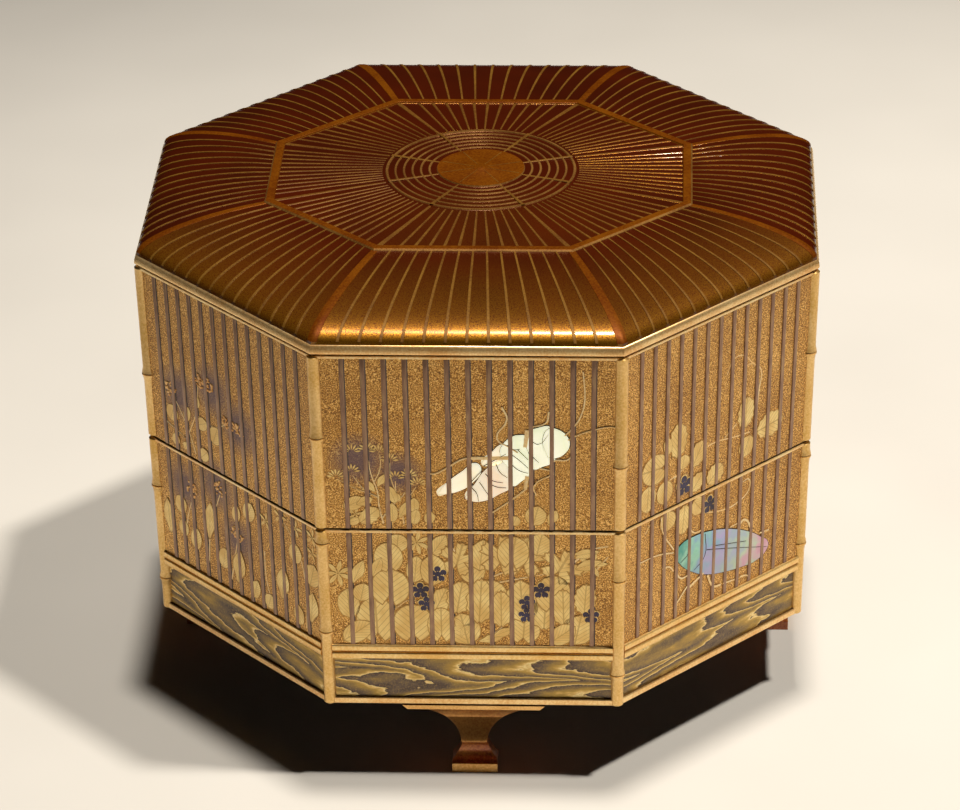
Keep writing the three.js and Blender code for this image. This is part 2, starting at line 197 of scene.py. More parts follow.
# Levels of a foot that lie closer than this are left out
LEAST_RISE = 0.035

# Relief and small sizes of the pictures, which stay behind the face of the bars
LEAF_RELIEF = 0.07
LEAF_STEP = 0.006
LEAF_LAYERS = 9
LEAF_FULL = 1.15
LEAF_CONTOUR = 0.03
BERRY_LIFT = 0.06
LINE_RELIEF = 0.08
SHELL_TOP = 0.14
LEG_LIFT = 0.13
CREASE_WIDTH = 0.16
OUTLINE_WIDTH = 0.12
OUTLINE_SHOWS = 0.015
SEAM_CLEAR_BELOW = 0.15
SEAM_CLEAR_ABOVE = 0.3

# Tufts, asters, grain heads and berries. Widths of blades and places of lobes are shares of their reach
TUFT_LEAN = 12
BLADE_WIDTH = 0.3
ASTER_STROKES = 7
ASTER_SPREAD = 160
STROKE_START = 0.45
STROKE_LENGTH = 1.15
STROKE_WIDTH = 0.3
GRAINS = 26
GRAIN_RADIUS = 0.32
GRAIN_SIZES = (0.7, 1.2)
LOBES = 5
LOBE_LEAN = 20
LOBE_REACH = 0.72
LOBE_DROP = 0.4
LOBE_SIZE = 0.78

# Sprigs of the faces turned away: where each one starts and where its tip is
SPRIGS = ((-11, -15, 52), (-2, 4, 47), (10, 13, 53))
SPRIG_FOOT = 12
SPRIG_WIDTH = 0.36
SPRIG_LEAVES = 9
SPRIG_LEANS = (35, 70)
SPRIG_LENGTHS = (3.4, 5.6)

# The camera fitted to the photograph: degrees, millimetres, and the photograph's own pixels
CAMERA_AZIMUTH = 2.77
CAMERA_ELEVATION = 27.04
CAMERA_ROLL = -0.85
CAMERA_DISTANCE = 776.74
CAMERA_AIM = 54.2
CAMERA_LENS = 167.76
PHOTO_WIDTH = 960
PHOTO_SHIFT = (-3.5, -58.6)

# Lamps: place and softness in metres, power in watts, and cone in degrees
LAMPS = {
    "overhead": ((0.09, 0.08, 3.0), 0.125, 290, 21),
    "right_overhead": ((0.93, -0.18, 2.5), 0.1, 240, 23),
}
LAMP_AIM = (0.11, -0.02, 0)
LAMP_TINT = (1.0, 0.94, 0.86)
ROOM_TINT = (1.0, 0.88, 0.74, 1)
ROOM_LIGHT = 0.006
FLOOR_SIZE = 6


# Colour and material helpers. The sockets of a colour Mix node are its share and the colours under and over
SHARE, UNDER, OVER = 0, 6, 7


def colour(code):
    """Turn an sRGB hex colour into linear values."""
    channels = [int(code[i:i + 2], 16) / 255 for i in (1, 3, 5)]
    linear = [c / 12.92 if c <= 0.04045 else ((c + 0.055) / 1.055) ** 2.4 for c in channels]
    return (*linear, 1.0)


def add_node(tree, kind, inputs=None, stops=None, **settings):
    """Add a shader node with its settings, values or links, and ramp stops; give its first output."""
    node = tree.nodes.new("ShaderNode" + kind)
    for name, value in settings.items():
        setattr(node, name, value)
    for index, (position, code) in enumerate(stops or []):
        if index > 1:
            node.color_ramp.elements.new(position)
        node.color_ramp.elements[index].position = position
        node.color_ramp.elements[index].color = colour(code)
    for name, value in (inputs or {}).items():
        if isinstance(value, bpy.types.NodeSocket):
            tree.links.new(value, node.inputs[name])
        else:
            node.inputs[name].default_value = value
    return next((socket for socket in node.outputs if socket.enabled), None)


def new_material(name):
    """Start a material; give it, its tree and the object's own coordinates."""
    material = bpy.data.materials.new(name)
    material.use_nodes = True
    tree = material.node_tree
    tree.nodes.clear()
    place = tree.nodes.new("ShaderNodeTexCoord").outputs["Object"]
    return material, tree, place


def close_material(tree, bump=None, **inputs):
    """Finish a material with its surface shader. A bump is its pattern, its millimetres and its strength."""
    if bump:
        pattern, depth, strength = bump
        inputs["Normal"] = add_node(tree, "Bump", {
            "Height": pattern, "Distance": depth * MM, "Strength": strength,
        })
    named = {name.replace("_", " "): value for name, value in inputs.items()}
    surface = add_node(tree, "BsdfPrincipled", named)
    add_node(tree, "OutputMaterial", {"Surface": surface})


def per_mm(size):
    """Texture scale, on coordinates in metres, for a grain of this many millimetres."""
    return 1 / (size * MM)


def lacquer_ground():
    """Clear lacquer over gold powder on dark red-brown: near black until light strikes, then gold."""
    material, tree, place = new_material("lid_lacquer_over_gold_powder")
    # The powder is about 0.05 mm; it is drawn at 0.17 mm so that it still shows
    powder = add_node(tree, "TexNoise",
                      {"Vector": place, "Scale": per_mm(0.17), "Detail": 2.0, "Roughness": 0.6})
    cloud = add_node(tree, "TexNoise", {"Vector": place, "Scale": per_mm(16), "Detail": 2.0})
    strewn = add_node(tree, "MapRange", {"Value": powder, "From Min": 0.3, "From Max": 0.62})
    # Painted shade: the powder is cut away where the lid is seen at a low angle, darkening its back and
    # sides as the lamps' falloff would; the clear lacquer over the powder also hides it a little there
    aslant = add_node(tree, "LayerWeight", {"Blend": 0.5}).node.outputs["Facing"]
    painted_falloff_share = add_node(tree, "MapRange",
                    {"Value": aslant, "From Min": 0.56, "From Max": 0.0, "To Min": 0.02, "To Max": 1.0})
    gold = add_node(tree, "Math", {0: strewn, 1: painted_falloff_share}, operation="MULTIPLY")
    dark = add_node(tree, "ValToRGB", {"Fac": cloud}, [(0.3, "#380a01"), (0.7, "#481001")])
    tint = add_node(tree, "Mix", {SHARE: gold, UNDER: dark, OVER: colour("#a8741a")}, data_type="RGBA")
    metal = add_node(tree, "MapRange", {"Value": gold, "To Min": 0.25, "To Max": 1.0})
    close_material(tree, Base_Color=tint, Metallic=metal, Roughness=0.36, bump=(powder, 0.015, 0.3),
                   Specular_IOR_Level=0.1, Coat_Weight=0.5, Coat_Roughness=0.14)
    return material


def burnished_gold(name, dark, light, roughness, metallic=0.75, coat=0.2, gloss=0.5):
    """Gold powder burnished close: an even warm metal, with a faint darker grain between."""
    material, tree, place = new_material(name)
    # The powder is too fine to show, so its grain is drawn at 0.35 mm
    fine = add_node(tree, "TexNoise", {"Vector": place, "Scale": per_mm(0.35), "Detail": 2.0})
    broad = add_node(tree, "TexNoise", {"Vector": place, "Scale": per_mm(7), "Detail": 3.0})
    both = add_node(tree, "Math", {0: fine, 1: broad}, operation="ADD")
    share = add_node(tree, "MapRange", {"Value": both, "From Min": 0.75, "From Max": 1.25})
    tint = add_node(tree, "ValToRGB", {"Fac": share}, [(0.0, dark), (1.0, light)])
    close_material(tree, Base_Color=tint, Metallic=metallic, Roughness=roughness, bump=(fine, 0.012, 0.6),
                   Specular_IOR_Level=gloss, Coat_Weight=coat, Coat_Roughness=0.15)
    return material


def sprinkled_ground():
    """Gold flakes strewn close on brown lacquer: a fine gold and brown maze, dark near some flowers."""
    material, tree, place = new_material("wall_gold_flakes_on_brown")
    # The flakes are about 0.1 mm; they are drawn at 0.19 mm so that they still show
    maze = add_node(tree, "TexNoise",
                    {"Vector": place, "Scale": per_mm(0.19), "Detail": 1.0, "Roughness": 0.6})
    cloud = add_node(tree, "TexNoise", {"Vector": place, "Scale": per_mm(12), "Detail": 3.0})
    both = add_node(tree, "Math", {0: cloud, 1: 0.15, 2: maze}, operation="MULTIPLY_ADD")
    share = add_node(tree, "MapRange", {"Value": both, "From Min": 0.4, "From Max": 0.76})
    flakes = add_node(tree, "ValToRGB", {"Fac": share}, [
        (0.0, "#704820"), (0.35, "#b47e3a"), (0.65, "#d8a252"), (1.0, "#ffd88a"),
    ])
    veil = None
    for k, x, z, reach in VEILS:
        spot = face_matrix(k) @ Vector((x * MM, 0, z * MM))
        away = add_node(tree, "VectorMath", {0: place, 1: spot}, operation="DISTANCE")
        near = add_node(tree, "MapRange", {
            "Value": away, "From Min": reach * VEIL_CORE * MM, "From Max": reach * MM,
            "To Min": VEIL_STRENGTH, "To Max": 0.0,
        })
        veil = near if veil is None else add_node(tree, "Math", {0: veil, 1: near}, operation="MAXIMUM")
    tint = add_node(tree, "Mix", {SHARE: veil, UNDER: flakes, OVER: colour("#5e5062")}, data_type="RGBA")
    metal = add_node(tree, "MapRange", {"Value": share, "To Min": 0.5, "To Max": 0.95})
    close_material(tree, Base_Color=tint, Metallic=metal, Roughness=0.44, bump=(share, 0.025, 0.5),
                   Coat_Weight=0.1, Coat_Roughness=0.25)
    return material


def brown_bar_lacquer():
    """Purplish brown lacquer on the raised bars, half matt and a little streaked along their length."""
    material, tree, place = new_material("bar_purple_brown_lacquer")
    long_way = add_node(tree, "Mapping", {"Vector": place, "Scale": (1, 1, 0.2)})
    streak = add_node(tree, "TexNoise", {"Vector": long_way, "Scale": per_mm(0.6), "Detail": 3.0})
    tint = add_node(tree, "ValToRGB", {"Fac": streak},
                    [(0.3, "#8c6850"), (0.55, "#a68064"), (0.75, "#b8966c")])
    close_material(tree, Base_Color=tint, Metallic=0.4, Roughness=0.4, bump=(streak, 0.015, 0.5),
                   Coat_Weight=0.2, Coat_Roughness=0.2)
    return material


def dark_line_lacquer():
    """Black-brown lacquer left bare in the grooves; beside the bars the same colour is painted shade."""
    material, tree, place = new_material("black_lacquer_and_painted_shade")
    cloud = add_node(tree, "TexNoise", {"Vector": place, "Scale": per_mm(3), "Detail": 2.0})
    tint = add_node(tree, "ValToRGB", {"Fac": cloud}, [(0.3, "#1a0c06"), (0.7, "#33190c")])
    close_material(tree, Base_Color=tint, Roughness=0.35, Coat_Weight=0.3, Coat_Roughness=0.2)
    return material


def grained_board():
    """Board painted with flame grain: nested wavy tongues, each gold at its lip and fading inwards."""
    material, tree, place = new_material("board_flame_grain_gold")
    turn = add_node(tree, "UVMap", uv_map="turn")
    run = add_node(tree, "SeparateXYZ", {0: turn})
    height = add_node(tree, "SeparateXYZ", {0: place}).node.outputs["Z"]
    # The tongues lie along a line that wanders up and down the board
    wander = add_node(tree, "TexNoise", {"Vector": turn, "Scale": 1.7, "Detail": 0.0})
    middle = add_node(tree, "MapRange", {
        "Value": wander, "From Min": 0.3, "From Max": 0.7,
        "To Min": (LOWER_BASE + 1.0) * MM, "To Max": (LOWER_BASE + BOARD_TOP - 1.0) * MM,
    })
    off = add_node(tree, "Math", {0: height, 1: middle}, operation="SUBTRACT")
    away = add_node(tree, "Math", {0: off}, operation="ABSOLUTE")
    lying = add_node(tree, "Mapping", {"Vector": place, "Scale": (0.45, 0.45, 1.4)})
    ragged = add_node(tree, "TexNoise",
                      {"Vector": lying, "Scale": per_mm(1.6), "Detail": 3.0, "Roughness": 0.55})
    # Tongues follow one another every 12 mm along the board and every 2.4 mm across it
    across = add_node(tree, "Math", {0: away, 1: per_mm(2.4), 2: ragged}, operation="MULTIPLY_ADD")
    field = add_node(tree, "Math", {0: run, 1: 4.0, 2: across}, operation="MULTIPLY_ADD")
    band = add_node(tree, "Math", {0: field}, operation="FRACT")
    tint = add_node(tree, "ValToRGB", {"Fac": band}, [
        (0.0, "#54443c"), (0.2, "#6e5c4c"), (0.5, "#92784a"), (0.75, "#bc9848"), (0.88, "#e8c272"),
        (0.96, "#ffe8a8"), (1.0, "#b88e4c"),
    ])
    fine = add_node(tree, "TexNoise", {"Vector": place, "Scale": per_mm(0.3), "Detail": 2.0})
    share = add_node(tree, "MapRange",
                     {"Value": fine, "From Min": 0.5, "From Max": 0.75, "To Max": 0.4})
    speckled = add_node(tree, "Mix", {SHARE: share, UNDER: tint, OVER: colour("#c8a458")}, data_type="RGBA")
    close_material(tree, Base_Color=speckled, Metallic=0.55, Roughness=0.45, bump=(band, 0.05, 0.6),
                   Coat_Weight=0.15, Coat_Roughness=0.2)
    return material


def leaf_gold(name, dark, light, vein):
    """Raised gold of the leaves: warm and half bright, with thin darker veins drawn in it."""
    material, tree, place = new_material(name)
    flat = add_node(tree, "UVMap", uv_map="flat")
    across = add_node(tree, "SeparateXYZ", {0: flat})
    along = across.node.outputs["Y"]
    off = add_node(tree, "Math", {0: across, 1: 0.5}, operation="SUBTRACT")
    away = add_node(tree, "Math", {0: off}, operation="ABSOLUTE")
    middle = add_node(tree, "Math", {0: away, 1: 0.025}, operation="LESS_THAN")
    slant = add_node(tree, "Math", {0: away, 1: -0.9, 2: along}, operation="MULTIPLY_ADD")
    # Seven pairs of side veins
    pairs = add_node(tree, "Math", {0: slant, 1: 7.0}, operation="MULTIPLY")
    part = add_node(tree, "Math", {0: pairs}, operation="FRACT")
    side = add_node(tree, "Math", {0: part, 1: 0.14}, operation="LESS_THAN")
    veins = add_node(tree, "Math", {0: middle, 1: side}, operation="MAXIMUM")
    shown = add_node(tree, "Math", {0: veins, 1: 0.6}, operation="MULTIPLY")
    broad = add_node(tree, "TexNoise", {"Vector": place, "Scale": per_mm(3), "Detail": 4.0})
    share = add_node(tree, "MapRange", {"Value": broad, "From Min": 0.35, "From Max": 0.65})
    gold = add_node(tree, "ValToRGB", {"Fac": share}, [(0.0, dark), (1.0, light)])
    tint = add_node(tree, "Mix", {SHARE: shown, UNDER: gold, OVER: colour(vein)}, data_type="RGBA")
    close_material(tree, Base_Color=tint, Metallic=0.7, Roughness=0.42, bump=(broad, 0.02, 0.4),
                   Coat_Weight=0.15, Coat_Roughness=0.2)
    return material


def shell(name, tints, drift, painted_glow):
    """Mother-of-pearl: pale and glossy, its colours drifting along the plate in broad clouds, with a painted
    glow.
    """
    material, tree, place = new_material(name)
    flat = add_node(tree, "UVMap", uv_map="flat")
    along = add_node(tree, "SeparateXYZ", {0: flat})
    cloud = add_node(tree, "TexNoise", {"Vector": place, "Scale": per_mm(4), "Detail": 3.0})
    moved = add_node(tree, "Math", {0: cloud, 1: drift, 2: along}, operation="MULTIPLY_ADD")
    share = add_node(tree, "Math", {0: moved, 1: drift / 2}, operation="SUBTRACT")
    stops = [(index / (len(tints) - 1), code) for index, code in enumerate(tints)]
    tint = add_node(tree, "ValToRGB", {"Fac": share}, stops)
    fine = add_node(tree, "TexNoise", {"Vector": place, "Scale": per_mm(0.8), "Detail": 3.0})
    # Painted light: the shell is given a faint glow of its own, which keeps it pale and bright on the dimly
    # lit walls
    close_material(tree, Base_Color=tint, Metallic=0.05, Roughness=0.3, bump=(fine, 0.02, 0.4),
                   Coat_Weight=0.6, Coat_Roughness=0.1, Emission_Color=tint, Emission_Strength=painted_glow)
    return material


def plain_floor_finish():
    """Pale matt studio floor with a very faint unevenness."""
    material, tree, place = new_material("studio_floor")
    cloud = add_node(tree, "TexNoise", {"Vector": place, "Scale": per_mm(60), "Detail": 2.0})
    tint = add_node(tree, "ValToRGB", {"Fac": cloud}, [(0.3, "#cac6be"), (0.7, "#d0ccc4")])
    close_material(tree, Base_Color=tint, Roughness=0.9)
    return material


# Plan helpers
def inset(plan, distance):
    """The octagon with every face moved inwards."""
    front, depth, width, side = plan
    run_x = width - front
    run_y = depth - side
    length = math.hypot(run_x, run_y)
    across_x = run_y / length
    across_y = run_x / length
    return (
        front - distance * (1 - across_y) / across_x, depth - distance,
        width - distance, side - distance * (1 - across_x) / across_y,
    )


def blend_plans(first, second, share):
    """A plan part of the way between two others."""
    return tuple(a + (b - a) * share for a, b in zip(first, second))


def corners_of(plan):
    """The eight corners, anticlockwise from the front left one."""
    front, depth, width, side = plan
    half = [(-front, -depth), (front, -depth), (width, -side), (width, side)]
    return [Vector(corner) for corner in half] + [-Vector(corner) for corner in half]


def corner_number(x, y):
    """Which corner a place is nearest, counted anticlockwise from the front left one."""
    return int(((math.degrees(math.atan2(y, x)) + 135) % 360) // 45)


FACE_PLAN = inset(EDGE, FACE_INSET)


def wall_face(k):
    """Middle, length and turning of a wall, in plan."""
    corners = corners_of(FACE_PLAN)
    start = corners[k]
    end = corners[(k + 1) % FACES]
    along = end - start
    return (start + end) / 2, along.length, math.atan2(along.y, along.x)


def shift(x, y, z):
    """Matrix that moves by millimetres."""
    return Matrix.Translation(Vector((x * MM, y * MM, z * MM)))


def face_matrix(k, z=LOWER_BASE):
    """Carries what is made facing -Y at the origin to its face, at a height."""
    middle, _, turn = wall_face(k)
    return shift(middle.x, middle.y, z) @ Matrix.Rotation(turn, 4, "Z")


# Modelling helpers
def deselect_all():
    """Leave edit mode and select nothing."""
    if bpy.context.mode != "OBJECT":
        bpy.ops.object.mode_set(mode="OBJECT")
    bpy.ops.object.select_all(action="DESELECT")


def select_only(piece):
    """Select one piece and nothing else, and make it the active one."""
    deselect_all()
    piece.select_set(True)
    bpy.context.view_layer.objects.active = piece


def label(piece, name):
    """Name a piece and its mesh."""
    piece.name = name
    piece.data.name = name


def start_piece(name, primitive, kind="VERT", **settings):
    """Add a primitive, put its place into its mesh, and start to shape it with all of it selected."""
    deselect_all()
    primitive(**settings)
    piece = bpy.context.object
    label(piece, name)
    bpy.ops.object.transform_apply(location=True, rotation=True, scale=True)
    bpy.ops.object.mode_set(mode="EDIT")
    bpy.ops.mesh.select_mode(type=kind)
    bpy.ops.mesh.select_all(action="SELECT")
    return piece


def start_edit(piece, kind="VERT", action="DESELECT"):
    """Enter edit mode on one piece with nothing selected, or all of it."""
    select_only(piece)
    bpy.ops.object.mode_set(mode="EDIT")
    bpy.ops.mesh.select_mode(type=kind)
    bpy.ops.mesh.select_all(action=action)


def end_edit():
    """Back to object mode."""
    bpy.ops.object.mode_set(mode="OBJECT")


def end_outwards():
    """Turn all faces outwards and go back to object mode."""
    bpy.ops.mesh.select_all(action="SELECT")
    bpy.ops.mesh.normals_make_consistent(inside=False)
    end_edit()


def pick(piece, kind, test):
    """Select the verts, edges or faces that pass a test, and nothing else."""
    bpy.ops.mesh.select_mode(type={"verts": "VERT", "edges": "EDGE", "faces": "FACE"}[kind])
    bpy.ops.mesh.select_all(action="DESELECT")
    cells = bmesh.from_edit_mesh(piece.data)
    cells.verts.index_update()
    for cell in [cell for cell in getattr(cells, kind) if test(cell)]:
        cell.select_set(True)
    if kind == "verts":
        cells.select_flush(True)
    else:
        cells.select_flush_mode()
    bmesh.update_edit_mesh(piece.data)


def pick_numbered(piece, numbers):
    """Select the vertices with these numbers, and nothing else."""
    bpy.ops.mesh.select_all(action="DESELECT")
    cells = bmesh.from_edit_mesh(piece.data)
    cells.verts.ensure_lookup_table()
    for number in numbers:
        cells.verts[number].select_set(True)
    cells.select_flush(True)
    bmesh.update_edit_mesh(piece.data)


def join(pieces, name):
    """Join several pieces into one."""
    select_only(pieces[0])
    for piece in pieces:
        piece.select_set(True)
    bpy.ops.object.join()
    label(bpy.context.object, name)
    return bpy.context.object


def apply_modifier(piece, kind, **settings):
    """Add a modifier with its settings and apply it."""
    select_only(piece)
    modifier = piece.modifiers.new(kind.lower(), kind)
    for name, value in settings.items():
        setattr(modifier, name, value)
    bpy.ops.object.modifier_apply(modifier=modifier.name)


def soften(piece, width, degrees, segments=1):
    """Bevel the edges that are sharper than an angle."""
    apply_modifier(piece, "BEVEL", width=width * MM, segments=segments, limit_method="ANGLE",
                   angle_limit=math.radians(degrees))


def smooth(piece, degrees=32):
    """Smooth the surface except over sharp edges."""
    select_only(piece)
    bpy.ops.object.shade_smooth_by_angle(angle=math.radians(degrees))


def link_new(name, data):
    """Put a new object with this data in the scene."""
    thing = bpy.data.objects.new(name, data)
    bpy.context.scene.collection.objects.link(thing)
    return thing


def copy_of(piece, matrix):
    """A copy with its own mesh, moved by a matrix."""
    twin = link_new(piece.name, piece.data.copy())
    twin.data.transform(matrix)
    return twin


def discard(piece):
    """Remove a pattern piece once its copies are made."""
    bpy.data.objects.remove(piece, do_unlink=True)


def add_materials(piece, *materials):
    """Give a piece its materials, in the order in which paint counts them."""
    for material in materials:
        piece.data.materials.append(material)


def finish_as(piece, slot, *materials):
    """Give a piece its materials, in the place of those of its patterns, and its body. The slot is not used.
    """
    if piece.data.materials:
        for index, material in enumerate(materials):
            piece.data.materials[index] = material
    else:
        add_materials(piece, *materials)
    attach(piece, "root")


def paint(piece, index, test):
    """Give the faces that pass a test another of the piece's materials."""
    for face in piece.data.polygons:
        if test(face):
            face.material_index = index


def paint_selected(piece, index):
    """Give the faces selected in edit mode another of the piece's materials."""
    piece.active_material_index = index
    bpy.ops.object.material_slot_assign()


def shape_ring(piece, plan, z):
    """Move the selected ring of eight corners to a plan and a height."""
    front, depth, width, side = plan
    cells = bmesh.from_edit_mesh(piece.data)
    ring = {v.index: v.co.copy() for v in cells.verts if v.select}
    for is_front, x, y in ((True, front, depth), (False, width, side)):
        corners = [number for number, place in ring.items() if (abs(place.y) > abs(place.x)) == is_front]
        now = ring[corners[0]]
        pick_numbered(piece, corners)
        bpy.ops.transform.resize(value=(x * MM / abs(now.x), y * MM / abs(now.y), 1))
        bpy.ops.transform.translate(value=(0, 0, z * MM - now.z))
    pick_numbered(piece, ring)


def octagon_loft(name, levels, closed=False):
    """Raise an eight-sided ring through levels of plan and height, then close it."""
    piece = start_piece(name, bpy.ops.mesh.primitive_circle_add, vertices=FACES, radius=0.05,
                        rotation=(0, 0, math.pi / FACES))
    shape_ring(piece, *levels[0])
    for plan, z in levels[1:]:
        bpy.ops.mesh.extrude_region_move()
        shape_ring(piece, plan, z)
    last = len(levels) - 1
    if closed:
        pick(piece, "edges", lambda e: {v.index // FACES for v in e.verts} in ({0}, {last}))
        bpy.ops.mesh.bridge_edge_loops()
    else:
        for ring in (0, last):
            pick(piece, "verts", lambda v, ring=ring: v.index // FACES == ring)
            bpy.ops.mesh.edge_face_add()
    end_outwards()
    number_turns(piece)
    return piece


def number_turns(piece):
    """UV map: across, the turn round the box counted in faces; up, the level of the loft."""
    layer = piece.data.uv_layers.new(name="turn")
    for face in piece.data.polygons:
        numbers = [corner_number(*piece.data.vertices[i].co.xy) for i in face.vertices]
        wraps = 0 in numbers and FACES - 1 in numbers
        for loop, vertex, number in zip(face.loop_indices, face.vertices, numbers):
            turn = FACES if wraps and number == 0 else number
            layer.data[loop].uv = (turn, vertex // FACES)


def divide_faces(piece, columns):
    """Divide each face of a loft into columns."""
    start_edit(piece, "EDGE")
    pick(piece, "edges", lambda e: e.verts[0].index // FACES == e.verts[1].index // FACES
         and len({corner_number(*v.co.xy) for v in e.verts}) == 2)
    bpy.ops.mesh.subdivide(number_cuts=columns - 1)
    end_edit()


def column_and_level(piece, face, columns):
    """Which column of its side a divided face is in, and which level of the loft, in edit mode."""
    layer = bmesh.from_edit_mesh(piece.data).loops.layers.uv["turn"]
    marks = [loop[layer].uv for loop in face.loops]
    turn = sum(mark.x for mark in marks) / len(marks)
    level = sum(mark.y for mark in marks) / len(marks)
    return int(turn % 1 * columns), level


def raise_faces(piece, test, relief, index):
    """Raise the faces that pass a test, and paint them and their sides."""
    pick(piece, "faces", test)
    bpy.ops.mesh.extrude_region_shrink_fatten(TRANSFORM_OT_shrink_fatten={"value": relief * MM})
    bpy.ops.mesh.select_more()
    paint_selected(piece, index)


# The lid
def slope_height(share):
    """Height of the slope, from 0 at the inner band to 1 at the edge."""
    return STRIP_TOP + SLOPE_RISE * math.sqrt(max(0.0, 1 - share * share))


def make_lid_slopes(ground, rib_gold, band_gold):
    """The eight curved slopes with their thin ribs, and the wide bands on the hips."""
    outer = inset(EDGE, RIM_BULGE)
    levels = [(blend_plans(INNER, outer, share), slope_height(share)) for share in SLOPE_SHARES]
    # The hidden side of the slopes, from the rim back up to the crown
    levels += [
        (outer, STRIP_TOP - 0.25),
        (inset(EDGE, 2.6), STRIP_TOP - 0.1),
        (blend_plans(INNER, outer, 0.5), SLOPE_TOP - 2.9),
        (INNER, SLOPE_TOP - 2.4),
    ]
    piece = octagon_loft("lid_slopes", levels, closed=True)
    divide_faces(piece, SLOPE_COLUMNS)
    add_materials(piece, ground, rib_gold, band_gold)
    top_level = len(SLOPE_SHARES) - 1
    far_hip = SLOPE_COLUMNS - HIP_COLUMNS

    def is_rib(face):
        column, level = column_and_level(piece, face, SLOPE_COLUMNS)
        beside_hip = HIP_COLUMNS <= column < far_hip
        return level < top_level and beside_hip and (column - HIP_COLUMNS) % RIB_PITCH == RIB_PITCH - 1

    def is_hip(face):
        column, level = column_and_level(piece, face, SLOPE_COLUMNS)
        return level < top_level and not HIP_COLUMNS <= column < far_hip

    start_edit(piece, "FACE")
    raise_faces(piece, is_rib, RIB_RELIEF, 1)
    raise_faces(piece, is_hip, HIP_RELIEF, 2)
    end_edit()
    soften(piece, RIB_SOFT, 50)
    smooth(piece, 40)
    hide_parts("lid")
    finish_as(piece, "lid_lacquer", ground, rib_gold, band_gold)


def make_lid_rim(gold):
    """The pale gold strip along the lid's lower edge, upright outside and rounded over its top."""
    mouth = inset(EDGE, WALL - LIP_THICKNESS - LIP_GAP)
    levels = [(mouth, LID_BASE)]
    levels += [(inset(EDGE, away), LID_BASE + up) for away, up in RIM_CURVE]
    levels.append((mouth, STRIP_TOP - 0.3))
    piece = octagon_loft("lid_rim", levels, closed=True)
    smooth(piece, 40)
    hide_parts("lid")
    finish_as(piece, "lid_lacquer", gold)


def crown_height(radius):
    """Height of the slightly domed top."""
    return CROWN_TOP - CROWN_RISE * (radius / INNER[1]) ** 2


def make_crown(ground, rib_gold, band_gold, edge_gold):
    """The raised inner band, and the field of ribs between it and the rings."""
    ring = RING_RADIUS + RING_PITCH / 2
    small = tuple(c * ring / math.hypot(*INNER[:2]) for c in INNER)
    under = SLOPE_TOP - CROWN_UNDER
    levels = [
        (INNER, under),
        (INNER, SLOPE_TOP + 0.05),
        (inset(INNER, BAND_EDGE), SLOPE_TOP + BAND_RELIEF),
        (inset(INNER, BAND_WIDTH - BAND_SOFT), SLOPE_TOP + BAND_RELIEF),
        (inset(INNER, BAND_WIDTH), SLOPE_TOP + 0.08),
        (small, crown_height(ring)),
        (small, under),
    ]
    piece = octagon_loft("lid_crown", levels, closed=True)
    divide_faces(piece, CROWN_COLUMNS)
    add_materials(piece, ground, rib_gold, band_gold, edge_gold)
    start_edit(piece)
    # The edge towards the rings becomes a circle
    for z in (crown_height(ring), under):
        pick(piece, "verts", lambda v, z=z: abs(v.co.z - z * MM) < 0.02 * MM
             and v.co.xy.length < (ring + 2.5) * MM)
        bpy.ops.transform.tosphere(value=1.0)
        cells = bmesh.from_edit_mesh(piece.data)
        reaches = [v.co.xy.length for v in cells.verts if v.select]
        grow = ring * MM * len(reaches) / sum(reaches)
        bpy.ops.transform.resize(value=(grow, grow, 1))

    def is_rib(face):
        column, level = column_and_level(piece, face, CROWN_COLUMNS)
        on_corner = column in (0, CROWN_COLUMNS - 1)
        between = CROWN_PITCH <= column < CROWN_COLUMNS - CROWN_PITCH
        return 4 < level < 5 and (on_corner or between and column % CROWN_PITCH == CROWN_PITCH // 2)

    # The band lies between levels 1 and 4 of the loft, its bright outer edge between 1 and 2
    for index, end_level in ((2, 4), (3, 2)):
        pick(piece, "faces", lambda face, end_level=end_level:
             1 < column_and_level(piece, face, CROWN_COLUMNS)[1] < end_level)
        paint_selected(piece, index)
    raise_faces(piece, is_rib, CROWN_RELIEF, 1)
    end_edit()
    soften(piece, CROWN_SOFT, 40)
    smooth(piece, 22)
    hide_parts("lid")
    finish_as(piece, "lid_lacquer", ground, rib_gold, band_gold, edge_gold)


def lathe(name, steps, sides):
    """Raise a circle through steps of radius and height, and fill both ends."""
    radius, z = steps[0]
    piece = start_piece(name, bpy.ops.mesh.primitive_circle_add, "FACE", vertices=sides, radius=radius * MM,
                        location=(0, 0, z * MM), fill_type="NGON")
    for new_radius, new_z in steps[1:]:
        bpy.ops.mesh.extrude_region_move(TRANSFORM_OT_translate={"value": (0, 0, (new_z - z) * MM)})
        grow = new_radius / radius
        bpy.ops.transform.resize(value=(grow, grow, 1))
        radius, z = new_radius, new_z
    end_outwards()
    return piece


def make_crown_rings(ground, rib_gold, disc_gold):
    """Concentric thin rings round the plain middle disc."""
    outer = RING_RADIUS + RING_PITCH / 2
    steps = [(outer, SLOPE_TOP - 1.8), (outer, crown_height(outer) + 0.01)]
    for ring in range(RING_COUNT):
        radius = RING_RADIUS - ring * RING_PITCH
        width, relief = OTHER_RINGS if ring else FIRST_RING
        low = crown_height(radius)
        steps += [(radius + width, low), (radius + width * 0.6, low + relief),
                  (radius - width * 0.6, low + relief), (radius - width, low)]
    steps += [(radius, crown_height(DISC_RADIUS) + up) for radius, up in DISC_CURVE]
    piece = lathe("lid_rings", steps, RING_SIDES)
    add_materials(piece, ground, rib_gold, disc_gold)

    def reach(face):
        return face.center.xy.length / MM

    paint(piece, 1, lambda face: face.center.z / MM > crown_height(reach(face)) + 0.03)
    paint(piece, 2, lambda face: reach(face) < DISC_RADIUS + 0.05 and face.normal.z > 0.2)
    smooth(piece, 30)
    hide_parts("lid")
    finish_as(piece, "lid_lacquer", ground, rib_gold, disc_gold)


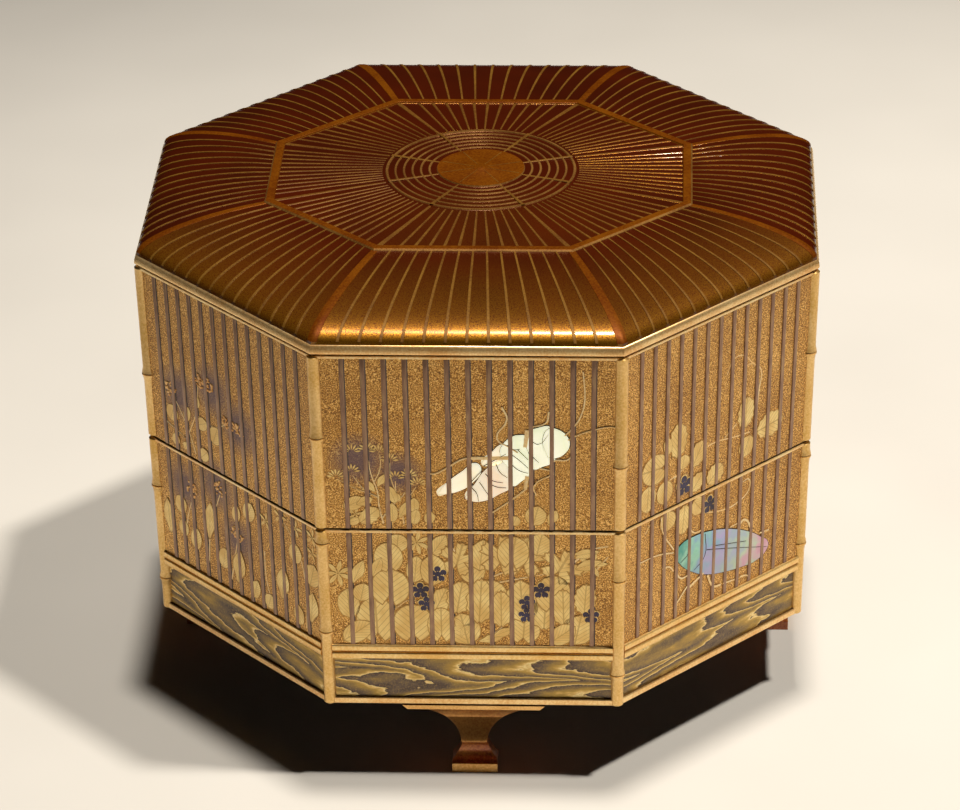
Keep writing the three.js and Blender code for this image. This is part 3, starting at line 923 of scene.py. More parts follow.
def make_ring_spokes(rib_gold):
    """Thin spokes that carry the hips across the rings and fade over the disc."""
    pattern = start_piece("spoke_pattern", bpy.ops.mesh.primitive_cube_add, size=1)
    length = RING_RADIUS - DISC_RADIUS + 0.6
    bpy.ops.transform.resize(value=(SPOKE_WIDTH * MM, length * MM, SPOKE_HEIGHT * MM))
    pick(pattern, "verts", lambda v: v.co.y > 0)
    bpy.ops.transform.resize(value=(0.6, 1, 1))
    pick(pattern, "edges", lambda e: all(v.co.z > 0 for v in e.verts)
         and abs(e.verts[0].co.x - e.verts[1].co.x) < 0.2 * MM)
    bpy.ops.mesh.bevel(offset=SPOKE_SOFT * MM, segments=1)
    end_edit()
    middle = (RING_RADIUS + DISC_RADIUS) / 2
    over_rings = shift(0, -middle, crown_height(middle) - 0.02)
    over_disc = shift(0, -DISC_SPOKE_RADIUS, crown_height(DISC_RADIUS) + 0.1)
    over_disc = over_disc @ Matrix.Diagonal((*DISC_SPOKE_SIZE, 1, 1))
    copies = []
    for corner in corners_of(INNER):
        turned = Matrix.Rotation(math.atan2(corner.y, corner.x) + math.pi / 2, 4, "Z")
        copies += [copy_of(pattern, turned @ over_rings), copy_of(pattern, turned @ over_disc)]
    discard(pattern)
    piece = join(copies, "lid_spokes")
    smooth(piece)
    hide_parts("lid")
    finish_as(piece, "lid_lacquer", rib_gold)


# The tiers
def taper_cage():
    """A lattice that draws the walls in towards the foot."""
    deselect_all()
    bpy.ops.object.add(type="LATTICE", location=(0, 0, (LOWER_BASE + LID_BASE) / 2 * MM))
    cage = bpy.context.object
    cage.name = "taper_cage"
    cage.scale = (CAGE_WIDTH * MM, CAGE_WIDTH * MM, (LID_BASE - LOWER_BASE) * MM)
    for way in "uvw":
        setattr(cage.data, "points_" + way, 2)
        setattr(cage.data, "interpolation_type_" + way, "KEY_LINEAR")
    for point in cage.data.points:
        if point.co.z < 0:
            point.co_deform.x *= BASE_SHRINK
            point.co_deform.y *= BASE_SHRINK
    bpy.context.view_layer.update()
    return cage


def taper(piece, cage):
    """Draw a piece in with the walls."""
    apply_modifier(piece, "LATTICE", object=cage)


def wall_levels(base, top, floor, lower):
    """Levels of a hollow tray: underside, wall, proud edge strip, lip, inside and floor."""
    if lower:
        strip = inset(FACE_PLAN, -BAR_RELIEF)
        strip_edge = inset(strip, STRIP_SOFT)
        strip_top = base + BOTTOM_STRIP
        board = inset(FACE_PLAN, BOARD_RECESS)
        levels = [
            (inset(EDGE, UNDERSIDE_INSET), base), (strip_edge, base), (strip, base + STRIP_SOFT),
            (strip, strip_top - STRIP_SOFT), (strip_edge, strip_top),
            (board, strip_top + 0.05), (board, base + BOARD_TOP - 0.05), (FACE_PLAN, base + BOARD_TOP),
        ]
    else:
        recess = inset(EDGE, WALL - LIP_THICKNESS - LIP_GAP)
        levels = [
            (recess, base + LIP_HEIGHT + LIP_GAP), (recess, base),
            (inset(FACE_PLAN, 0.08), base - SEAM_CLOSE), (FACE_PLAN, base - SEAM_CLOSE + 0.08),
        ]
    lip = inset(EDGE, WALL - LIP_THICKNESS)
    lip_top = top + LIP_HEIGHT
    inside = inset(EDGE, WALL)
    proud = inset(FACE_PLAN, -EDGE_PROUD)
    levels += [
        (FACE_PLAN, top - EDGE_HEIGHT - 0.1), (proud, top - EDGE_HEIGHT),
        (proud, top - EDGE_ROUND), (inset(proud, EDGE_ROUND), top),
        (lip, top + 0.02), (lip, lip_top - LIP_SOFT), (inset(lip, LIP_SOFT), lip_top),
        (inset(inside, -LIP_SOFT), lip_top), (inside, lip_top - LIP_SOFT), (inside, floor),
    ]
    return levels


def make_walls(name, base, top, cage, materials, lower):
    """One tray: sprinkled ground outside, a bright strip of painted highlight at its top edge, plain lacquer
    inside.
    """
    floor = base + FLOOR if lower else base + LIP_HEIGHT + LIP_GAP + FLOOR
    piece = octagon_loft(name + "_walls", wall_levels(base, top, floor, lower))
    taper(piece, cage)
    add_materials(piece, *materials)
    edge = FACE_PLAN[1] * BASE_SHRINK - 1.2
    strip_top = base + BOTTOM_STRIP + 0.04

    def height(face):
        return face.center.z / MM

    def outside(face):
        reach = max(abs(face.center.x), abs(face.center.y)) / MM
        diagonal = (abs(face.center.x) + abs(face.center.y)) / MM / math.sqrt(2)
        return max(reach, diagonal) > edge and abs(face.normal.z) < 0.95

    # In order: sprinkled ground, edge strip of painted highlight, inside, bottom strip, grained board and
    # dark underside
    paint(piece, 2, lambda face: True)
    paint(piece, 0, lambda face: outside(face) and height(face) < top)
    paint(piece, 5, lambda face: face.normal.z < -0.9 and height(face) < base + 0.1)
    # The edge strip is painted bright as its highlight, since the lamps hardly reach it
    paint(piece, 1, lambda face: outside(face) and top - EDGE_HEIGHT - 0.08 < height(face) < top + 0.015)
    if lower:
        paint(piece, 3, lambda face: outside(face) and height(face) < strip_top)
        paint(piece, 4, lambda face: outside(face) and strip_top < height(face) < base + BOARD_TOP - 0.02)
    smooth(piece, 25)
    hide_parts(name)
    finish_as(piece, "gold_ground", *materials)


def make_bars(name, base, top, cage, material, dark):
    """Raised bars on every face, each with a thin dark line of painted shade on its right, modelled once and
    copied.
    """
    pattern = start_piece("bar_pattern", bpy.ops.mesh.primitive_cube_add, size=1)
    bpy.ops.transform.resize(value=(BAR_WIDTH * MM, 2 * BAR_RELIEF * MM, (top - base) * MM))
    bpy.ops.transform.translate(value=(0, 0, (top + base) / 2 * MM))
    pick(pattern, "edges", lambda e: all(v.co.y < 0 for v in e.verts))
    bpy.ops.mesh.bevel(offset=BAR_SOFT * MM, segments=2)
    # A thin strip on the bar's right side, painted dark as its shade
    pick(pattern, "faces", lambda f: f.normal.x > 0.9)
    bpy.ops.mesh.extrude_region_move(TRANSFORM_OT_translate={"value": (BAR_SHADE * MM, 0, 0)})
    bpy.ops.transform.resize(value=(1, 0.4, 1))
    end_edit()
    add_materials(pattern, material, dark)
    paint(pattern, 1, lambda face: face.center.x > (BAR_WIDTH / 2 + 0.01) * MM)
    copies = []
    for k in range(FACES):
        run = wall_face(k)[1] - 2 * POST_REACH
        for bar in range(1, BARS + 1):
            along = run * bar / (BARS + 1) - run / 2
            copies.append(copy_of(pattern, face_matrix(k, 0) @ shift(along, 0, 0)))
    discard(pattern)
    piece = join(copies, name + "_bars")
    taper(piece, cage)
    smooth(piece)
    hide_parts(name)
    finish_as(piece, "gold_ground", material, dark)


def make_posts(name, base, top, cage, material, dark):
    """Bamboo posts on the corners, with a ridge, a dark notch and a lip at each joint of the cane."""
    posts = []
    for k, corner in enumerate(corners_of(inset(FACE_PLAN, POST_INSET))):
        heights = ODD_NODES if k % 2 else EVEN_NODES
        notches = [LOWER_BASE + height for height in heights if base < LOWER_BASE + height < top]
        steps = [(POST_RADIUS - 0.2, base), (POST_RADIUS, base + 0.15)]
        for z in notches:
            steps += [(POST_RADIUS + away, z + up) for up, away in CANE_JOINT]
        steps += [(POST_RADIUS, top - 0.3), (POST_RADIUS - 0.3, top)]
        post = lathe("post", steps, POST_SIDES)
        add_materials(post, material, dark)
        paint(post, 1, lambda face: any(abs(face.center.z / MM - z - 0.01) < 0.08 for z in notches))
        post.data.transform(shift(corner.x, corner.y, 0))
        posts.append(post)
    piece = join(posts, name + "_posts")
    taper(piece, cage)
    smooth(piece, 40)
    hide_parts(name)
    finish_as(piece, "gold_ground", material, dark)


def make_rails(cage, material):
    """Two rails with rounded edges above the board on every face."""
    pattern = start_piece("rail_pattern", bpy.ops.mesh.primitive_cube_add, size=1)
    bpy.ops.transform.resize(value=(1, RAIL_DEPTH * MM, RAIL_HEIGHT * 0.9 * MM))
    pick(pattern, "edges", lambda e: all(v.co.y < 0 for v in e.verts)
         and abs(e.verts[0].co.z - e.verts[1].co.z) < 0.1 * MM)
    bpy.ops.mesh.bevel(offset=RAIL_SOFT * MM, segments=4)
    end_edit()
    rails = []
    for k in range(FACES):
        stretch = Matrix.Diagonal(((wall_face(k)[1] - 2) * MM, 1, 1, 1))
        for rail in range(2):
            z = LOWER_BASE + BOARD_TOP + RAIL_HEIGHT * (rail + 0.5)
            rails.append(copy_of(pattern, face_matrix(k, z) @ stretch))
    discard(pattern)
    piece = join(rails, "lower_rails")
    taper(piece, cage)
    smooth(piece, 40)
    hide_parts("lower_tier")
    finish_as(piece, "gold_ground", material)


# The feet
def bend(points, count=7):
    """Places along a curve drawn by three or four control points."""
    places = []
    for step in range(count + 1):
        row = [Vector(point) for point in points]
        while len(row) > 1:
            row = [a.lerp(b, step / count) for a, b in zip(row, row[1:])]
        places.append(row[0])
    return places


def read_curve(places, z):
    """Where a curve stands at a height."""
    for low, high in zip(places, places[1:]):
        if low.y <= z <= high.y:
            share = (z - low.y) / (high.y - low.y) if high.y > low.y else 1.0
            return low.x + (high.x - low.x) * share
    return places[-1].x


def foot_curves():
    """Half width, front and back of a foot as curves of distance and height."""
    plate = FOOT_TOP - PLATE_EDGE
    waist = (TOE_HEIGHT + NECK_TOP) / 2
    neck = (NECK_HALF, NECK_TOP)
    knee = (KNEE_INSET, KNEE_HEIGHT)
    cove = (COVE_INSET, COVE_HEIGHT)
    heel = (NECK_BACK, NECK_TOP)
    bracket = (BRACKET_HALF, BRACKET_MIDDLE)
    across = [Vector((TOE_HALF, 0))]
    across += bend([(TOE_HALF, TOE_HEIGHT), (NECK_HALF, waist), neck])
    above_neck = (NECK_HALF, (NECK_TOP + plate) / 2)
    across += bend([neck, above_neck, bracket, (PLATE_HALF - PLATE_SLANT, plate)], 12)
    across += [Vector((PLATE_HALF, FOOT_TOP))]
    front = [Vector((TOE_INSET, 0))]
    front += bend([(TOE_INSET, TOE_HEIGHT), (NECK_INSET, TOE_HEIGHT), (NECK_INSET, waist)])
    front += bend([(NECK_INSET, waist), (NECK_INSET, NECK_TOP), knee])
    front += bend([knee, (KNEE_INSET, KNEE_HEIGHT + KNEE_INSET), cove])
    front += bend([cove, (COVE_INSET, plate), (0, plate)])
    front += [Vector((0, FOOT_TOP))]
    back = [Vector((TOE_BACK, 0))]
    back += bend([(TOE_BACK, TOE_HEIGHT), (NECK_BACK, TOE_HEIGHT), heel])
    back += bend([heel, (NECK_BACK, plate), (PLATE_DEPTH, plate)])
    back += [Vector((PLATE_DEPTH, FOOT_TOP))]
    return across, front, back


def foot_pattern():
    """One foot, raised from the sole by following its front and side views."""
    across, front, back = foot_curves()
    heights = sorted({round(place.y, 3) for curve in (across, front, back) for place in curve})
    gaps = [above - z for z, above in zip(heights, heights[1:])] + [LEAST_RISE * 2]
    foot = start_piece("foot", bpy.ops.mesh.primitive_plane_add, size=1)
    size_x, size_y, middle, height = 1 / MM, 1 / MM, 0, 0
    for z in [z for z, gap in zip(heights, gaps) if gap > LEAST_RISE]:
        if z > 0:
            bpy.ops.mesh.extrude_region_move()
        near = read_curve(front, z)
        far = read_curve(back, z)
        new_x = 2 * read_curve(across, z)
        new_y = far - near
        new_middle = (near + far) / 2
        bpy.ops.transform.resize(value=(new_x / size_x, new_y / size_y, 1))
        bpy.ops.transform.translate(value=(0, (new_middle - middle) * MM, (z - height) * MM))
        size_x, size_y, middle, height = new_x, new_y, new_middle, z
    end_outwards()
    soften(foot, FOOT_SOFT, 55, segments=2)
    return foot


def make_feet(lacquer, gold, panel):
    """Four feet, one under the middle of the front, right, back and left faces."""
    pattern = foot_pattern()
    add_materials(pattern, lacquer, gold, panel)
    plate = FOOT_TOP - PLATE_EDGE
    # The edges of the plate and of the toe are gold, and the bracket between them is a browner gold
    for index, low, high, facing in ((1, plate + 0.02, FOOT_TOP + 1, -0.4), (1, 0.1, TOE_HEIGHT, -0.5),
                                     (2, NECK_TOP + 0.3, plate - 1.6, -0.5)):
        paint(pattern, index, lambda face: low < face.center.z / MM < high and face.normal.y < facing)
    reach_y = -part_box("foot_front")[0][1] / MM
    reach_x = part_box("foot_right")[1][0] / MM
    places = (("foot_front", 0, reach_y), ("foot_right", 90, reach_x),
              ("foot_back", 180, reach_y), ("foot_left", -90, reach_x))
    for name, degrees, reach in places:
        foot = copy_of(pattern, Matrix.Rotation(math.radians(degrees), 4, "Z") @ shift(0, -reach, 0))
        foot.name = name + "_lacquered"
        smooth(foot, 35)
        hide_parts(name)
        finish_as(foot, "foot_lacquer", lacquer, gold, panel)
    discard(pattern)


# Pictures on the walls: a place on a face is millimetres right of its middle and above the walls' foot
ROUND, HEART, OVAL, LANCE, TOOTHED, PALM = "round", "heart", "oval", "lance", "toothed", "palm"

# Each kind of leaf: the corners of its circle, then pinches. A pinch says which corners move towards the
# middle, by corner number from the tip, and how much of their reach they keep across and along
LEAF_KINDS = {
    ROUND: (20, [(lambda i: i == 10, 1.0, 0.6)]),
    HEART: (20, [(lambda i: i == 10, 1.0, 0.45), (lambda i: i in (1, 19), 0.7, 1.0)]),
    OVAL: (18, [(lambda i: i in (1, 17), 0.4, 1.0), (lambda i: i in (2, 16), 0.8, 1.0),
                (lambda i: i in (8, 10), 0.4, 1.0)]),
    LANCE: (14, [(lambda i: i in (1, 13), 0.45, 1.0), (lambda i: i in (2, 12), 0.8, 1.0),
                 (lambda i: i in (5, 6, 8, 9), 0.6, 1.0)]),
    TOOTHED: (26, [(lambda i: i % 2 == 1, 0.84, 0.9), (lambda i: i in (1, 2, 24, 25), 0.6, 1.0),
                   (lambda i: i in (12, 14), 0.5, 1.0)]),
    PALM: (40, [(lambda i: i % 8 == 4, 0.42, 0.42), (lambda i: i % 8 in (3, 5), 0.66, 0.66),
                (lambda i: i % 8 in (1, 7), 0.9, 0.9)]),
}

# Plants of each face, by its number anticlockwise from the front: 0 the front, 1 the right front, 7 the left
# front. A leaf is its kind, its stalk end, its tip and its width
LEAVES = {
    0: [
        (ROUND, -16, 11.8, -16.4, 21, 6.2), (OVAL, -0.6, 11.6, -2, 18, 5), (ROUND, 3, 17, 3.6, 24.4, 5.2),
        (OVAL, 8.8, 16, 8.2, 24.6, 5), (ROUND, 13.6, 18, 14, 25.4, 5.4),
        (OVAL, 17.4, 11.8, 18.6, 17.8, 4.8), (ROUND, -13.4, 25.6, -14.2, 31.4, 4.4),
        (OVAL, -6.4, 23, -6.4, 29.4, 3.8), (HEART, 6.6, 26.4, 7.6, 32.8, 4.8),
        (OVAL, -20.6, 16.6, -21, 22.6, 3.4), (OVAL, 0.4, 23.4, 0, 29.4, 4),
        (ROUND, -10, 12, -10, 19.6, 6.2), (ROUND, -5.2, 12, -5.2, 19, 4.2),
        (HEART, -14, 19, -13.4, 26.4, 6), (OVAL, -22, 12.3, -17, 16, 3.4),
        (OVAL, -18.8, 20, -18, 23.6, 2.8), (LANCE, -20, 23.5, -18, 28, 1.8),
        (LANCE, -16.6, 24.8, -15, 28.6, 1.6), (ROUND, -12.4, 29.6, -12, 33, 3.2),
        (OVAL, -9.6, 23.6, -9, 29, 2.8), (TOOTHED, -6.6, 17.4, -4, 23, 3.4),
        (TOOTHED, -2.6, 17.6, -1.4, 24.4, 4.2), (PALM, -3, 25, -1.2, 31.6, 6),
        (TOOTHED, 1.2, 15.6, 1.8, 25, 4.6), (OVAL, 1.4, 26, 2.2, 32.2, 3.4), (PALM, 4.4, 25, 6, 33, 7),
        (TOOTHED, 5, 15, 5, 22.6, 3.8), (PALM, 8.4, 24.6, 9.6, 32.8, 7), (OVAL, 11, 29, 12, 33.4, 3.6),
        (ROUND, 8.6, 12, 9, 17.2, 5), (TOOTHED, 12.2, 14.6, 12.6, 22, 5), (PALM, 13.6, 24, 16.8, 30, 7),
        (TOOTHED, 15.6, 15.4, 15.4, 23, 4), (OVAL, 13.2, 12.2, 17.6, 15.6, 3.2),
        (TOOTHED, 19, 17.6, 19.4, 24, 3.6), (LANCE, 22, 28.2, 17.4, 26.6, 1.8),
        (LANCE, 21.6, 30, 16.8, 29, 1.6), (OVAL, -7, 28.4, -4, 33, 2.4), (LANCE, 1, 12.4, 5.6, 13.6, 1.4),
        (LANCE, 3.4, 13.4, 7.2, 15, 1.4), (OVAL, -21, 37.8, -17.4, 39.8, 2.2),
        (LANCE, -18.8, 38.6, -16, 39.8, 1.6), (TOOTHED, -18.4, 35, -15, 38, 2.8),
        (OVAL, -12.8, 35.2, -12.9, 39, 1.6), (OVAL, -12.2, 38.8, -13.4, 42.2, 1.4),
        (LANCE, -11.8, 36, -10, 39.4, 1.4), (OVAL, -9.2, 37, -9.2, 40, 1.5),
        (OVAL, -9.4, 34.8, -8.8, 37.8, 1.6), (LANCE, -20.8, 35, -18, 35.8, 1.4),
        (OVAL, -7, 35, -6.4, 37.4, 1.6), (OVAL, 10.4, 34.8, 11.4, 38.6, 3.2),
        (LANCE, 13, 35, 14.4, 37.8, 1.6), (LANCE, -15.6, 41, -17.2, 43.2, 1.1),
        (LANCE, -15.2, 42, -13.8, 44.4, 1.1), (LANCE, -11.4, 39.2, -12.6, 41, 1.0),
        (OVAL, 7, 34.8, 7.8, 36.6, 1.8),
    ],
    1: [
        (HEART, -11.4, 42, -18, 42.8, 5), (OVAL, -16.2, 40, -16.6, 34.8, 3.4),
        (OVAL, -12.4, 39.6, -12.4, 34.8, 3.4), (TOOTHED, -9.4, 42.4, -9.4, 49.6, 4),
        (OVAL, -11.6, 44, -12.2, 47.6, 1.8), (TOOTHED, -6, 39.4, -3.2, 44, 3.6),
        (OVAL, -8.4, 40, -7.8, 42.8, 2.6), (TOOTHED, -6, 34.8, -3.2, 37.8, 3),
        (TOOTHED, -2.2, 34.8, 1.6, 37.6, 3.8), (TOOTHED, 6.6, 42, 7, 48.4, 3.8),
        (TOOTHED, 9.4, 40.4, 16.4, 41, 4.6), (OVAL, 8, 40.6, 6.4, 36.6, 3.2),
        (OVAL, -11.4, 33.4, -11.6, 29.4, 3.4), (TOOTHED, -7.4, 33.2, -8, 27.2, 3.6),
        (OVAL, -5.4, 33, -3, 30, 3),
    ],
    7: [
        (OVAL, -16.8, 39.2, -15.4, 42.4, 2.8), (OVAL, -12.4, 40.6, -11.4, 43.6, 1.6),
        (LANCE, -9.2, 44, -8.4, 46.6, 1.2), (OVAL, -9.4, 41, -6.4, 42.4, 2.2),
        (OVAL, -5.2, 39, -3.6, 42.6, 2.8), (OVAL, -16.2, 34.8, -15, 37, 1.8),
        (LANCE, -13.4, 34.8, -12.4, 36.4, 1.4), (OVAL, -9, 34.8, -6.8, 36.8, 2.2),
        (LANCE, -19.2, 16, -19.6, 23, 2.6), (OVAL, -16.4, 21.4, -15, 25, 2.8),
        (OVAL, -15.8, 17, -15, 20.4, 2.4), (LANCE, -8.2, 19.2, -7.2, 27, 2.6),
        (OVAL, -12.6, 15.6, -11.4, 20, 2.6), (OVAL, -0.6, 25.8, 0.4, 29.2, 2),
        (OVAL, 2.6, 27.4, 4.4, 31.2, 2.8), (OVAL, -4.8, 15, -3.8, 19.4, 2.6),
        (LANCE, -0.8, 13.6, 0.4, 20.6, 3), (LANCE, 11.4, 15.6, 12.2, 22.2, 3),
        (OVAL, 7.2, 12.2, 8.4, 15.2, 2.4), (OVAL, 14.8, 24.4, 16.4, 28, 3),
        (OVAL, 19.2, 21.4, 20.6, 26, 3.4), (LANCE, 19, 14.2, 19.8, 20.4, 3),
        (OVAL, 3.4, 12.6, 4.8, 16.4, 2.2), (OVAL, 16, 12.4, 15.6, 16.4, 2.4),
    ],
}

# A line is its places and its width: stems, tendrils, legs and feelers
LINES = {
    0: [
        ([(-14.4, 35), (-15, 38), (-15.2, 41), (-16.2, 44.4), (-16.6, 48)], 0.3),
        ([(-15.2, 40), (-17.4, 41.4), (-19.2, 44)], 0.24),
        ([(-15.6, 43), (-14.6, 45.6), (-14.6, 48)], 0.24),
        ([(-14.6, 36), (-12.4, 39.4), (-12.2, 43)], 0.28),
        ([(-12.6, 38.6), (-10.6, 41), (-10, 43.6)], 0.24),
        ([(-17.4, 41), (-20, 42.2), (-21.8, 43.4)], 0.22), ([(-12.2, 41), (-13, 44), (-13, 46.4)], 0.22),
        ([(-11, 35), (-11.4, 37), (-13.2, 38.6)], 0.3), ([(-10, 40), (-8.8, 42)], 0.22),
        ([(-10, 32), (-7, 30), (-4.5, 27.6)], 0.3), ([(3.3, 24.8), (6.5, 26.4), (10, 28.4)], 0.36),
        ([(3.3, 23.6), (8, 24.6), (12.6, 25.6)], 0.36), ([(17, 27.6), (20, 30.2), (23, 31)], 0.4),
        ([(21, 26.4), (23, 29)], 0.36), ([(-13, 18.6), (-10, 20.4), (-7.6, 18.4)], 0.24),
        ([(3.6, 13.8), (7.4, 16.8), (12.4, 17.2), (17, 14.6)], 0.24), ([(-3.4, 30.8), (-1.2, 28)], 0.36),
    ],
    1: [
        ([(-10.2, 39), (-6.8, 40.6), (-1.8, 42.2), (4.6, 41.4), (8, 41)], 0.36),
        ([(1.8, 42.2), (4.6, 43.8)], 0.3), ([(-16.4, 36), (-13, 38.6), (-9.8, 39.4)], 0.34),
        ([(9.4, 44), (9.8, 48.5), (10.1, 52), (8, 54), (5.5, 56.4), (3.4, 56.4), (1.8, 54)], 0.34),
        ([(8, 54), (6.6, 54), (6.1, 52.8)], 0.3), ([(-16.8, 31), (-15.1, 33)], 0.3),
        ([(-3.2, 29.8), (1.5, 28.4), (5.2, 28.3), (8.5, 30.1), (8.2, 31.9), (6.7, 31.9)], 0.34),
    ],
    7: [
        ([(-10.3, 35), (-11.7, 38.7), (-13.8, 42.1), (-15.8, 44.6)], 0.36),
        ([(-11.7, 38.7), (-9.3, 43.5), (-8.4, 48.6)], 0.34), ([(-9.6, 43), (-4.6, 42.4), (-1.4, 44)], 0.3),
        ([(-19.1, 38.8), (-14.5, 37.6), (-11.2, 36.6)], 0.3),
        ([(-15.4, 13), (-14.4, 20), (-12.2, 26)], 0.36), ([(-9, 13), (-7.6, 22), (-4.4, 29.4)], 0.36),
        ([(-3, 12.6), (-1.4, 18), (-0.4, 22)], 0.36), ([(7.1, 23.2), (7.2, 17.5), (8.7, 13)], 0.34),
        ([(17.6, 12.6), (18, 20), (16.4, 27), (13, 31)], 0.34),
    ],
}

# Star shaped tufts: place, reach and number of blades
TUFTS = {
    0: [(-22.4, 25.4, 2.6, 7), (-9, 31.4, 2.4, 7), (-1.4, 15.4, 2.4, 6), (20.4, 27.4, 2.6, 5),
        (-19, 36.8, 1.8, 5)],
    7: [(8, 29.4, 1.8, 5), (12, 31.8, 1.8, 5), (16, 31.2, 1.8, 5), (20.4, 31.2, 1.8, 5), (20.2, 28, 1.6, 5)],
}

# Aster heads are half discs of strokes; grain heads are clusters of grains; berries are dark lobed flowers
ASTERS = {
    0: [(-19.2, 48.4), (-16.7, 48.9), (-14.8, 48.4), (-13, 46.8), (-19.4, 44.7), (-22, 43.7),
        (-12.2, 43.5), (-8.6, 42.4), (-10, 44)],
}
GRAIN_HEADS = {
    7: [(-16, 45.4, 1.5), (-8.2, 49.8, 1.5), (-5.4, 50, 1.2), (-0.6, 44.6, 1.5), (2.2, 44.4, 1.2),
        (-12.2, 27.4, 1.5), (-4.2, 30.6, 1.5), (-0.2, 23.4, 1.7)],
}
BERRIES = {
    0: [(-5.6, 25.4, 1.4), (-8.6, 22.2, 1.4), (-7.6, 19.6, 1.3), (11.8, 22.4, 1.4), (9.4, 20, 1.3),
        (9.3, 17.6, 1.3), (20.2, 17.6, 1.3)],
    1: [(-7.8, 36.8, 1.7), (-1.4, 30.8, 1.5)],
}

# Thin dark veils of lacquer behind the flowers: face, place and reach
VEIL_CORE = 0.35
VEIL_STRENGTH = 0.78
VEILS = [
    (0, -18, 47, 5.5), (0, -11.5, 44.5, 4.5), (7, -13.8, 45.4, 5.8), (7, -4.6, 49.2, 5.8),
    (7, 2, 44.6, 5.6), (7, -14.2, 27.2, 5.4), (7, -5, 30.9, 5.8), (7, -0.2, 22.4, 5.2),
    (1, -7.8, 36.8, 2.6),
]

# The cricket and the beetle: where the left end of the body lies on its face, and how many degrees it rises.
# Plates and creases are drawn along and across the body, and legs and feelers on the face like other lines.
# A plate is its name, its shell, its relief and its outline
CRICKET_PLACE = (-5.4, 40.6)
CRICKET_TILT = 26.5
CRICKET_PLATES = [
    ("long_wing", "cream", 0.08, [
        (0, 0), (2.6, 1.3), (5.9, 2.1), (8.5, 2.5), (8.8, 1), (6.2, -0.7), (4.1, -1.1), (1.6, -0.7),
    ]),
    ("abdomen", "pink", 0.1, [
        (3.9, -2.5), (4.5, -3.6), (6.8, -4.6), (9.2, -4.5), (12, -4), (13, -1.6), (12.6, 0.9), (9.4, 0.7),
        (6.6, -0.9),
    ]),
    ("fore_wing", "cream", 0.1, [(9.2, 2), (11.6, 3.1), (14.2, 3.5), (13.8, 1.4), (9.6, 1.2)]),
    ("rings", "green", 0.13, [
        (12.6, 0.9), (13.4, 3.2), (17.8, 3.8), (18.8, 0.6), (17.4, -1.8), (16, -3.2), (13.8, -3.9),
        (11.9, -4), (12.9, -1.6),
    ]),
    ("neck", "green", 0.15, [
        (17, -0.4), (18.2, 3.7), (20.6, 3.9), (22.6, 3), (21.4, 0.4), (20.4, -2.8), (18, -3), (16.4, -2.7),
    ]),
    ("head", "green", 0.17, [
        (19.6, -1.7), (20.2, 1.4), (22.2, 3), (23.4, 2.2), (24.2, 0.4), (23.9, -1.2), (22.6, -2.3),
        (20.8, -2.5),
    ]),
]
CRICKET_CREASES = [
    [(14.3, 1.7), (15.1, -0.1), (15.8, -2.2)], [(15.8, 1.7), (16.5, -0.8)],
    [(13.5, 0.3), (14.2, -1.8), (15.3, -3)], [(11.4, 0.9), (11.3, -0.9), (11.9, -2.3)],
    [(8.7, -2), (9.7, -3.2), (10.9, -3.9)], [(5.6, -0.6), (9.3, 1)], [(9.4, 1.4), (13.7, 1.8)],
    [(18.6, 2), (19.3, 1.1), (21.6, 2)], [(17.4, -0.6), (17.8, -2)], [(7.4, -1), (7.6, -3.8)],
    [(5.8, -1.4), (6, -2.8), (5.6, -4.1)], [(9, 0), (9.4, -1.6), (10.8, -2.8)],
    [(14.6, 3.2), (15.2, 2), (16.2, 1.6)],
]
CRICKET_LEGS = [
    ([(5.5, 57), (6.3, 54.8), (4.6, 51.2), (6.6, 49.6), (8, 48.6)], 0.34),
    ([(13.1, 56.2), (12.6, 54.2), (10.5, 53.4)], 0.34), ([(9.6, 52.8), (9.2, 49.6)], 0.9),
    ([(6.6, 47.6), (3.4, 47.5), (0.4, 47.5)], 0.8),
    ([(0.4, 47.5), (-0.8, 47.4), (-3.9, 45.5), (-5.8, 44.5), (-7.4, 44.8)], 0.34),
    ([(9.5, 44.2), (9.2, 41.7)], 0.8), ([(9.2, 41.7), (6.5, 39.4), (3.3, 37)], 0.34),
    ([(11.5, 45.7), (13.4, 45.3)], 0.34), ([(13.9, 44.7), (10.6, 42.3), (11, 40.6)], 0.3),
    ([(13.8, 44.8), (13.8, 47), (16.1, 47.3), (16.9, 48.2)], 0.34),
    ([(16.2, 51), (17.5, 51.8), (20, 52.8), (22.8, 53.5), (24, 53.4)], 0.3),
    ([(15.7, 51.8), (17.5, 54), (18.5, 56.2), (18.9, 58.6), (18.6, 63.6)], 0.3),
]
BEETLE_PLACE = (-9.5, 24.2)
BEETLE_TILT = -17
BEETLE_PLATES = [
    ("wing_case", "beetle", 0.14, [
        (0, 0), (0.9, 1.8), (3.6, 3), (7.4, 3.7), (13, 3.7), (18.6, 2.7), (21.8, 1.6), (24.2, 0.4),
        (24.3, -0.9), (22.6, -2.6), (18, -3.8), (14, -4.3), (10.2, -4.4), (6, -3.7), (1.6, -1.7),
    ]),
]
BEETLE_CREASES = [
    [(3, 2), (3.3, 0), (1.9, -1.6)], [(6.5, 3.3), (7.8, -0.9), (5.9, -3.3)],
    [(8, 0.3), (14, 0.1), (24, -0.4)], [(10, 0.9), (18, 1.1)],
]
